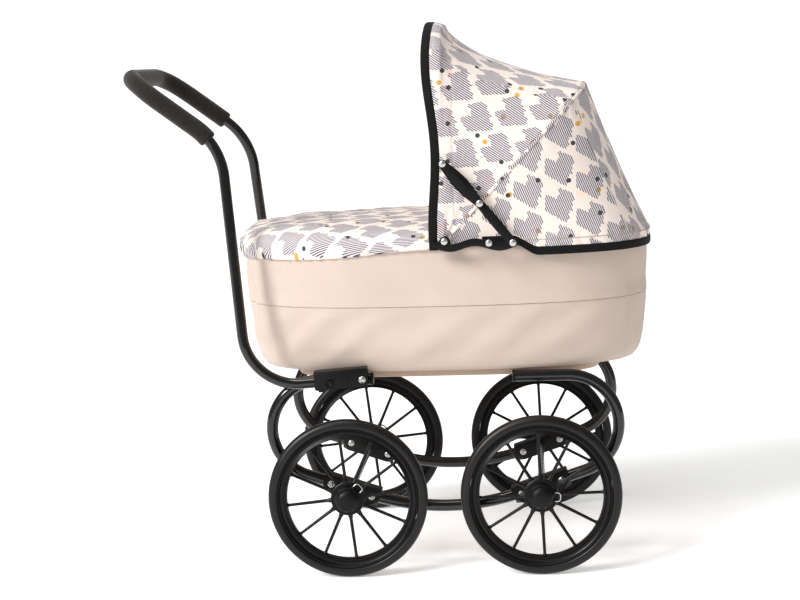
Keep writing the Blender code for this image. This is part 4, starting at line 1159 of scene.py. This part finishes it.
outer = laid_cloth(TUB_COLUMNS, TUB_ROWS, tub_wall(TUB_OUTSIDE, False))
inner = laid_cloth(TUB_COLUMNS, 40, tub_wall(TUB_INSIDE, True))
for face in inner.faces:
    face.material_index = 1
skin = add_part(outer, inner)
bmesh.ops.remove_doubles(skin, verts=skin.verts, dist=2e-5)
close_floor(skin, 0.2188, 0)
close_floor(skin, 0.2236, 1)
carrycot = to_scene("carrycot_canvas", skin, [canvas, lining], 60)
settle(carrycot, "chassis", ["carrycot_body"])
print("carrycot skin", len(carrycot.data.polygons), "faces,", round(tub_edge, 3), "m around")

# %% Board under the carrycot
board = bmesh.new()
bmesh.ops.create_circle(board, cap_ends=True, segments=160, radius=1.0)
for vert in board.verts:
    angle = math.atan2(vert.co.y, vert.co.x)
    c, s = math.cos(angle), math.sin(angle)
    vert.co = Vector((TUB_X + 0.172 * math.copysign(abs(c) ** 0.5, c), 0.0985 * math.copysign(abs(s) ** 0.5, s), 0.2105))
grown = bmesh.ops.extrude_face_region(board, geom=board.faces[:])
tops = [item for item in grown["geom"] if isinstance(item, bmesh.types.BMVert)]
bmesh.ops.translate(board, vec=(0, 0, 0.0080), verts=tops)
rims = [e for e in board.edges if abs(e.verts[0].co.z - e.verts[1].co.z) < 1e-7 and len(e.link_faces) == 2
        and e.calc_face_angle(0) > 1]
bmesh.ops.bevel(board, geom=rims, offset=0.0016, affect="EDGES", segments=3, profile=0.5, material=-1)
spots = board.loops.layers.uv.new("print")
for face in board.faces:
    for loop in face.loops:
        loop[spots].uv = (loop.vert.co.x, loop.vert.co.y + loop.vert.co.z)
settle(to_scene("cloth_covered_board", board, board_cloth, 60), "chassis", ["base_board"])
print("board", 344, "by", 197, "mm")

# %% [markdown]
# ## Mattress
# A thin pad fills the carrycot's floor. It is sewn from two faces of lining and filled
# loosely, so it is inflated as cloth: a closed shape a little too small is remeshed to
# even quads, swollen with pressure, and stopped where the real seams would hold it.

# %% Swollen pad
def swell(made, voxel, pressure, most):
    """Inflates a closed piece as cloth, and moves no point further than most."""
    remesh = made.modifiers.new("even_quads", "REMESH")
    remesh.mode = "VOXEL"
    remesh.voxel_size = voxel
    graph = bpy.context.evaluated_depsgraph_get()
    even = bpy.data.meshes.new_from_object(made.evaluated_get(graph))
    made.modifiers.clear()
    start = [v.co.copy() for v in even.vertices]
    balloon = bpy.data.objects.new("balloon", even)
    bpy.context.scene.collection.objects.link(balloon)
    cloth = balloon.modifiers.new("cloth", "CLOTH")
    cloth.settings.use_pressure = True
    cloth.settings.uniform_pressure_force = pressure
    cloth.settings.effector_weights.gravity = 0
    cloth.settings.quality = 5
    cloth.point_cache.frame_start = 1
    cloth.point_cache.frame_end = 20
    for frame_number in range(1, 21):
        bpy.context.scene.frame_set(frame_number)
    graph = bpy.context.evaluated_depsgraph_get()
    swollen = bpy.data.meshes.new_from_object(balloon.evaluated_get(graph))
    for vert, origin in zip(swollen.vertices, start):
        step = vert.co - origin
        if step.length > most:
            vert.co = origin + step.normalized() * most
    bpy.data.objects.remove(balloon)
    bpy.context.scene.frame_set(1)
    made.data = swollen
    return made


PAD = [(0.0, 0.0, 0.2256), (0.10, 0.05, 0.2256), (0.190, 0.094, 0.2258), (0.200, 0.1015, 0.2290), (0.2025, 0.1040, 0.2345),
       (0.200, 0.1015, 0.2400), (0.190, 0.094, 0.2430), (0.10, 0.05, 0.2436), (0.0, 0.0, 0.2436)]
pad_angles, pad_edge = even_angles(0.2025, 0.1040, 120)


def pad_place(u, v):
    half_x, half_y, z = along(PAD, v)
    point, away = oval(max(half_x, 1e-6), max(half_y, 1e-6), pad_angles[min(120, round(u * 120))])
    tuft = 0.0
    return Vector((TUB_X + point.x, point.y, z - tuft)), (point.x, point.y + z), 0.0


pad = to_scene("mattress_pad", laid_cloth(120, 40, pad_place), lining, 80)
swell(pad, 0.005, 4.0, 0.005)
pad.data.materials.clear()
pad.data.materials.append(lining)
soft = bmesh.new()
soft.from_mesh(pad.data)
bmesh.ops.smooth_vert(soft, verts=soft.verts, factor=0.5, use_axis_x=True, use_axis_y=True, use_axis_z=True)
for vert in soft.verts:
    vert.co.z = min(max(vert.co.z, 0.2244), 0.2462)
old_spots = soft.loops.layers.uv.get("print") or soft.loops.layers.uv.new("print")
for face in soft.faces:
    for loop in face.loops:
        loop[old_spots].uv = (loop.vert.co.x, loop.vert.co.y + loop.vert.co.z)
bmesh.ops.recalc_face_normals(soft, faces=soft.faces[:])
soft.to_mesh(pad.data)
soft.free()
pad.data.shade_smooth()
settle(pad, "chassis", ["mattress"])
print("mattress", len(pad.data.polygons), "faces")

# %% [markdown]
# ## Cover over the foot end
# The printed cover is a shallow, lightly padded dome. Elastic in its hem draws it in
# under the rim, so it puckers there most at the round end, and rises towards the hood.

# %% Foot cover
COVER = [(0.2245, 0.1346, 0.3478), (0.2300, 0.1405, 0.3480), (0.2322, 0.1428, 0.3520), (0.2327, 0.1432, 0.3600),
         (0.2312, 0.1417, 0.3680), (0.2225, 0.1335, 0.3765), (0.1975, 0.1105, 0.3822), (0.1320, 0.0670, 0.3862),
         (0.0640, 0.0330, 0.3878), (0.0001, 0.0001, 0.3882)]
COVER_COLUMNS = 176
cover_angles, cover_edge = even_angles(0.232, 0.1428, 2 * COVER_COLUMNS)


def cover_place(u, v):
    angle = cover_angles[COVER_COLUMNS // 2 + min(COVER_COLUMNS, round(u * COVER_COLUMNS))]
    half_x, half_y, z = along(COVER, v)
    point, away = oval(half_x, half_y, angle)
    end = max(0.0, -away.x) ** 2
    near_hem = math.exp(-max(0.0, z - 0.352) / 0.013)
    run = u * cover_edge / 2
    pucker = math.sin(run / 0.0068 * 2 * math.pi * 0.5 + 1.8 * soft_noise(run * 45, 0.3))
    pucker += 0.6 * math.sin(run / 0.0047 * math.pi + 2.0 * soft_noise(run * 60, 4.0))
    lumps = soft_noise(point.x * 17, point.y * 17, 2.0) + 0.5 * soft_noise(point.x * 45, point.y * 45, 8.0)
    flat = smooth_step(v, 0.1, 0.5)
    bulge = 0.0034 * end * math.exp(-((z - 0.362) / 0.012) ** 2)
    out = bulge + pucker * near_hem * (0.0006 + 0.0013 * end) * smooth_step(v, 0.0, 0.12)
    place = Vector((TUB_X + point.x, point.y, z)) + away * out
    place.z += flat * (0.0022 * lumps) + 0.0010 * (1 - flat) * math.sin(run * 37) * smooth_step(v, 0, 0.1)
    place.z += 0.0085 * smooth_step(place.x, -0.06, 0.06) * smooth_step(0.40 - v, 0.0, 0.30)
    place.z -= 0.0055 * end * smooth_step(0.35 - v, 0.0, 0.30)
    place.x = min(place.x, 0.0592)
    spot = point + away * max(0.0, 0.384 - z) * 0.9
    return place, (spot.x, spot.y), 0.0


cover = to_scene("foot_cover_print", laid_cloth(COVER_COLUMNS, 60, cover_place), [apron_print, lining], 70)
facing_out(cover, (-0.05, 0.0, 0.388), (0, 0, 1))
thick_cloth(cover, 0.0020)
settle(cover, "chassis", ["apron"])
print("foot cover", len(cover.data.polygons), "faces")

# %% [markdown]
# ## Hood
# The hood is two cotton panels over three wire bows. The bows are arches with square
# shoulders, and all turn about one axis just above the rim. The cloth is laid from bow to
# bow: it sags between them, puckers along its seams, and gathers towards the axis.

# %% Arches
import bisect

BOW_RADIUS = 0.00225
CLOTH = 0.0012
FRONT = (91.5, 0.1515, 0.2300)
MIDDLE = (45.7, 0.1465, 0.2205)
REAR = (-0.5, 0.1415, 0.2215)
ARCH_STEPS = 720


def arch_table(half_width, height):
    """Points (y, reach) of a square-shouldered arch from foot to foot, and the run to each."""
    points, run = [(-half_width, 0.0)], [0.0]
    for i in range(1, ARCH_STEPS + 1):
        angle = math.pi * i / ARCH_STEPS
        c, s = math.cos(angle), abs(math.sin(angle))
        points.append((-half_width * math.copysign(abs(c) ** (2 / 3), c), height * s ** (2 / 3) if i < ARCH_STEPS else 0))
        run.append(run[-1] + math.dist(points[-2], points[-1]))
    return points, run


def arch_at(table, share, foot):
    """(y, reach), the outward direction in that plane, and the run, at a share between two feet."""
    points, run = table
    wanted = foot + (run[-1] - 2 * foot) * share
    if wanted <= 0:
        return (points[0][0], wanted), (-1.0, 0.0), wanted
    if wanted >= run[-1]:
        return (points[-1][0], run[-1] - wanted), (1.0, 0.0), wanted
    i = max(1, min(len(run) - 1, bisect.bisect_left(run, wanted)))
    t = (wanted - run[i - 1]) / (run[i] - run[i - 1])
    (y0, r0), (y1, r1) = points[i - 1], points[i]
    low, high = max(0, i - 6), min(len(points) - 1, i + 5)
    dy, dr = points[high][0] - points[low][0], points[high][1] - points[low][1]
    size = math.hypot(dy, dr)
    return (y0 + (y1 - y0) * t, r0 + (r1 - r0) * t), (-dr / size, dy / size), wanted


def on_bow(table, angle, share, foot):
    """A point over a bow at an angle, its outward direction and the run along it."""
    (y, reach), (out_y, out_r), run = arch_at(table, share, foot)
    c, s = math.cos(math.radians(angle)), math.sin(math.radians(angle))
    return Vector((HOOD_X + reach * c, y, HOOD_Z + reach * s)), Vector((out_r * c, out_y, out_r * s)), run


for name, (angle, half_width, height), body in (("front", FRONT, "hood_front"), ("middle", MIDDLE, "hood_middle"),
                                                ("rear", REAR, "chassis")):
    table = arch_table(half_width, height)
    wire = bar([on_bow(table, angle, i / 90, 0.004)[0] for i in range(91)], BOW_RADIUS, 12)
    for side in (-1, 1):
        eye = turned([(0.0023, -0.0020), (0.0056, -0.0020), (0.0056, 0.0020), (0.0023, 0.0020)], 32, closed=True)
        add_part(wire, moved(eye, Matrix.Translation((HOOD_X, side * half_width, HOOD_Z))))
    settle(to_scene(f"bow_wire_{name}", wire, enamel), body, [f"hood_bow_{name}"])
print("three bows")

# %% Front panel
GROW = BOW_RADIUS + 0.0006 + CLOTH
FRONT_TABLE = arch_table(FRONT[1] + GROW, FRONT[2] + GROW)
MIDDLE_TABLE = arch_table(MIDDLE[1] + GROW, MIDDLE[2] + GROW)
REAR_TABLE = arch_table(REAR[1] + GROW, REAR[2] + GROW)
CASING_X = 0.0775
SHOULDER = 0.215                  # run from a foot to the shoulder, where the print turns over
LOW_FOOT = -0.0095
SIDE_FOOT = 0.0035


def edge_offset(z):
    """How far the hood's edge stands in front of its bow: it waves a little with height."""
    return -0.0122 - 0.0035 * math.cos(2 * math.pi * (z - 0.368) / 0.19)


def unfolded(point, corner, run, shoulder, length, turn):
    """A point's spot on the flat cloth: sides keep x and z, the top unrolls along turn."""
    if run <= shoulder:
        return Vector((point.x, point.z))
    if run <= length - shoulder:
        return Vector((corner.x, corner.z)) + turn * (run - shoulder)
    side = Vector((point.x - corner.x, point.z - corner.z))
    return Vector((corner.x, corner.z)) + turn * (length - 2 * shoulder) + side - turn * 2 * side.dot(turn)


def bow_to_bow(first, last, share_along, share_across, feet, dip):
    """A point between two bows' arches, drawn in towards the axis by a dip."""
    a, out_a, run_a = on_bow(*first, share_along, feet[0])
    b, out_b, run_b = on_bow(*last, share_along, feet[1])
    point = a.lerp(b, share_across)
    outward = out_a.lerp(out_b, share_across).normalized()
    arm = point - Vector((HOOD_X, point.y, HOOD_Z))
    if arm.length > 1e-6:
        point = point - arm.normalized() * dip * min(1.0, arm.length / 0.2) ** 2
    return point, outward, run_a + (run_b - run_a) * share_across, arm.length


def front_place(u, v):
    lip = 0.12
    share = max(0.0, (v - lip) / (1 - lip))
    share = share ** 1.25
    foot = LOW_FOOT + (SIDE_FOOT - LOW_FOOT) * smooth_step(share, 0.03, 0.12)
    slack = max(0.0, share - 0.035)
    dip = 0.0155 * 2.6 * math.sqrt(slack) * (1 - share)
    first, last = (FRONT_TABLE, FRONT[0]), (MIDDLE_TABLE, MIDDLE[0] + 0.25)
    point, outward, run, reach = bow_to_bow(first, last, u, share, (foot, SIDE_FOOT), dip)
    spread = smooth_step(share, 0.02, 0.2) * (1 - smooth_step(share, 0.9, 1.0))
    from_casing = point.x - CASING_X
    puckers = math.sin(run / 0.0085 * math.pi + 2.4 * soft_noise(run * 40, 1.0))
    out = 0.0006 * puckers * math.exp(-abs(from_casing) / 0.006) * smooth_step(reach, 0.03, 0.08)
    out -= 0.0008 * math.exp(-(from_casing / 0.0013) ** 2) * smooth_step(reach, 0.02, 0.04)
    top = smooth_step(reach, 0.14, 0.21)
    gathers = math.sin(run / 0.0115 * math.pi + 2.8 * soft_noise(run * 30, 3.0))
    out += 0.0011 * gathers * math.exp(-(1 - share) * reach * 0.8 / 0.016) * (0.35 + 0.65 * top)
    out += 0.0024 * soft_noise(point.x * 13, run * 13, 4.0) * spread * smooth_step(reach, 0.02, 0.08)
    turn_angle = math.atan2(point.z - HOOD_Z, point.x - HOOD_X)
    out += 0.0008 * math.sin(turn_angle * 17) * math.exp(-reach / 0.05) * spread * smooth_step(reach, 0.006, 0.02)
    point = point + outward * out
    if v < lip:
        point.x += edge_offset(point.z) * (1 - v / lip)
    corner = bow_to_bow(first, last, SHOULDER / 0.71, share, (foot, SIDE_FOOT), dip)[0]
    if v < lip:
        corner.x += edge_offset(corner.z) * (1 - v / lip)
    spot = unfolded(point, corner, run, SHOULDER, 0.71, Vector((0.41, 0.91)))
    return point, spot, 1 - smooth_step(share, 0.11, 1.0)


def angular_blend(made):
    """Bakes a panel's place into its mesh and drops the fold share that each row of its cloth was given."""
    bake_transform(made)
    made.data.attributes.remove(made.data.attributes["fold_share"])


front_panel = to_scene("hood_cotton_front", laid_cloth(210, 56, front_place), [front_print, lining], 70)
facing_out(front_panel, (0.14, 0.0, 0.55), (0.3, 0, 1))
thick_cloth(front_panel, CLOTH)
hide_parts("hood_panel_front")
angular_blend(front_panel)
print("front panel", len(front_panel.data.polygons), "faces")

# %% Back panel
SKIRT_Z = 0.3490
REAR_CASING_Z = 0.3640


def skirt_low(x):
    """The skirt's lower edge: level, and rising behind the hinge plate."""
    return SKIRT_Z - 0.0008 + 0.0135 * smooth_step(0.168 - x, 0.0, 0.030)


def back_place(u, v):
    skirt = 0.88
    share = min(1.0, v / skirt)
    dip = 0.003 * 4 * share * (1 - share)
    first, last = (MIDDLE_TABLE, MIDDLE[0] - 0.25), (REAR_TABLE, REAR[0])
    point, outward, run, reach = bow_to_bow(first, last, u, share, (SIDE_FOOT, 0.006), dip)
    spread = smooth_step(share, 0.0, 0.12) * (1 - smooth_step(share, 0.85, 1.0))
    top = smooth_step(reach, 0.14, 0.21)
    gathers = math.sin(run / 0.0125 * math.pi + 2.8 * soft_noise(run * 30, 13.0))
    out = 0.0011 * gathers * math.exp(-share * reach * 0.8 / 0.016) * (0.3 + 0.7 * top)
    out += 0.0021 * soft_noise(point.x * 12, run * 12, 14.0) * spread * smooth_step(reach, 0.02, 0.08)
    rise = point.z - REAR_CASING_Z
    hem = math.sin(run / 0.0095 * math.pi + 2.2 * soft_noise(run * 40, 17.0))
    out += 0.0005 * hem * math.exp(-abs(rise) / 0.007) * smooth_step(reach, 0.06, 0.1)
    point = point + outward * out
    corner = bow_to_bow(first, last, SHOULDER / 0.70, share, (SIDE_FOOT, 0.006), dip)[0]
    if v > skirt:
        down = (v - skirt) / (1 - skirt)
        drop = (point.z - skirt_low(point.x)) * down
        point.z -= drop
        corner.z -= (corner.z - SKIRT_Z) * down
        flare = Vector((point.x - HOOD_X, point.y, 0)).normalized() * 0.0007 * math.sin(down * math.pi)
        point -= flare
    spot = unfolded(point, corner, run, SHOULDER, 0.70, Vector((0.92, 0.39)))
    return point, spot, 1 - smooth_step(share, 0.0, 0.93)


back_panel = to_scene("hood_cotton_back", laid_cloth(210, 56, back_place), [back_print, lining], 70)
facing_out(back_panel, (0.27, 0.0, 0.42), (1, 0, 0.3))
thick_cloth(back_panel, CLOTH)
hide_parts("hood_panel_back")
angular_blend(back_panel)
print("back panel", len(back_panel.data.polygons), "faces")

# %% [markdown]
# ## Bindings and seams
# Black twill tape is folded over the hood's front edge and over its back hem. A folded
# tape is a flattened loop, swept along the edge. The middle seam is a narrow felled
# ridge of the same cotton over the middle bow.


# %% Folded tape
def tape_along(path, columns, width, thickness, centre_shift=0.0):
    """A flattened loop of tape along a path, which gives a point, a width direction and a thickness direction."""
    def place(u, v):
        point, across, out = path(u)
        angle = 2 * math.pi * v
        c, s = math.cos(angle), math.sin(angle)
        wide = width / 2 * math.copysign(abs(c) ** 0.7, c) + centre_shift
        high = thickness / 2 * math.copysign(abs(s) ** 0.7, s)
        high *= 1 + 0.10 * soft_noise(u * 60, v * 2, 21.0)
        return point + across * wide + out * high, (u * 0.8, v * 2 * width), 0.0
    bm = laid_cloth(columns, 20, place)
    bmesh.ops.remove_doubles(bm, verts=bm.verts, dist=1e-6)
    bmesh.ops.holes_fill(bm, edges=[e for e in bm.edges if e.is_boundary], sides=0)
    return bm


def front_edge(u):
    point, out, run = on_bow(FRONT_TABLE, FRONT[0], u, LOW_FOOT)
    point = point + Vector((edge_offset(point.z) + 0.0040, 0, 0)) - out * 0.0006
    return point, Vector((1, 0, 0)), out


def back_hem(u):
    lowest = 0.062                # the tape starts at the end of the hinge plate
    share = lowest + (1 - 2 * lowest) * u
    (y, reach), (out_y, out_r), run = arch_at(REAR_TABLE, 0.055 + 0.89 * u, 0.006)
    point = Vector((HOOD_X + reach, y, 0))
    point.z = skirt_low(point.x) + 0.0034
    away = Vector((out_r, out_y, 0)).normalized()
    return point - away * 0.0006, Vector((0, 0, 1)), away


front_tape = to_scene("front_edge_tape", tape_along(front_edge, 260, 0.0098, 0.0032), tape, 80)
settle(front_tape, "hood_front")
back_tape = to_scene("back_hem_tape", tape_along(back_hem, 240, 0.0092, 0.0030), tape, 80)
settle(back_tape, "chassis")


def middle_seam(u):
    point, out, run = on_bow(MIDDLE_TABLE, MIDDLE[0], u, 0.012)
    angle = math.radians(MIDDLE[0])
    return point + out * 0.0001, Vector((-math.sin(angle), 0, math.cos(angle))), out


seam = to_scene("middle_felled_seam", tape_along(middle_seam, 240, 0.0034, 0.0017), front_print, 80)
settle(seam, "hood_middle")


def casing_line(u):
    """A point of the front panel where its casing is stitched, at one distance behind the edge."""
    low, high = 0.13, 0.97
    for _ in range(18):
        middle = (low + high) / 2
        if front_place(u, middle)[0].x < CASING_X:
            low = middle
        else:
            high = middle
    point = front_place(u, low)[0]
    (y, reach), (out_y, out_r), run = arch_at(FRONT_TABLE, u, SIDE_FOOT)
    return point - Vector((0, out_y, out_r)) * 0.0001


def hem_line(u):
    """A point of the back panel where its hem is stitched, a little above the tape."""
    low, high = 0.30, 0.99
    for _ in range(18):
        middle = (low + high) / 2
        if back_place(u, middle)[0].z > REAR_CASING_Z:
            low = middle
        else:
            high = middle
    return back_place(u, low)[0]


stitch_line = [casing_line(0.045 + 0.91 * i / 260) for i in range(261)]
settle(to_scene("front_casing_stitch", bar(stitch_line, 0.00042, 8), thread), "hood_front")
stitch_line = [hem_line(0.10 + 0.80 * i / 220) for i in range(221)]
settle(to_scene("back_casing_stitch", bar(stitch_line, 0.00042, 8), thread), "chassis")
print("tapes and seams are sewn")

# %% [markdown]
# ## Floor
# A plain pale floor carries the pram.

# %% Floor
floor_paint, shader = new_finish("matt_painted_studio_floor", "#ffffff", 0.85, Emission_Color=(1, 1, 1, 1),
                                 Emission_Strength=0.30)
tone = mix_colours(floor_paint, grain(floor_paint, 0.4, 2.0), "#fbfbfa", "#ffffff")
floor_paint.node_tree.links.new(tone, shader.inputs["Base Color"])
floor = bmesh.new()
bmesh.ops.create_grid(floor, x_segments=4, y_segments=4, size=30.0)
bmesh.ops.translate(floor, vec=(0, 0, -0.0004), verts=floor.verts)
to_scene("studio_floor", floor, floor_paint)
print("the floor is laid")
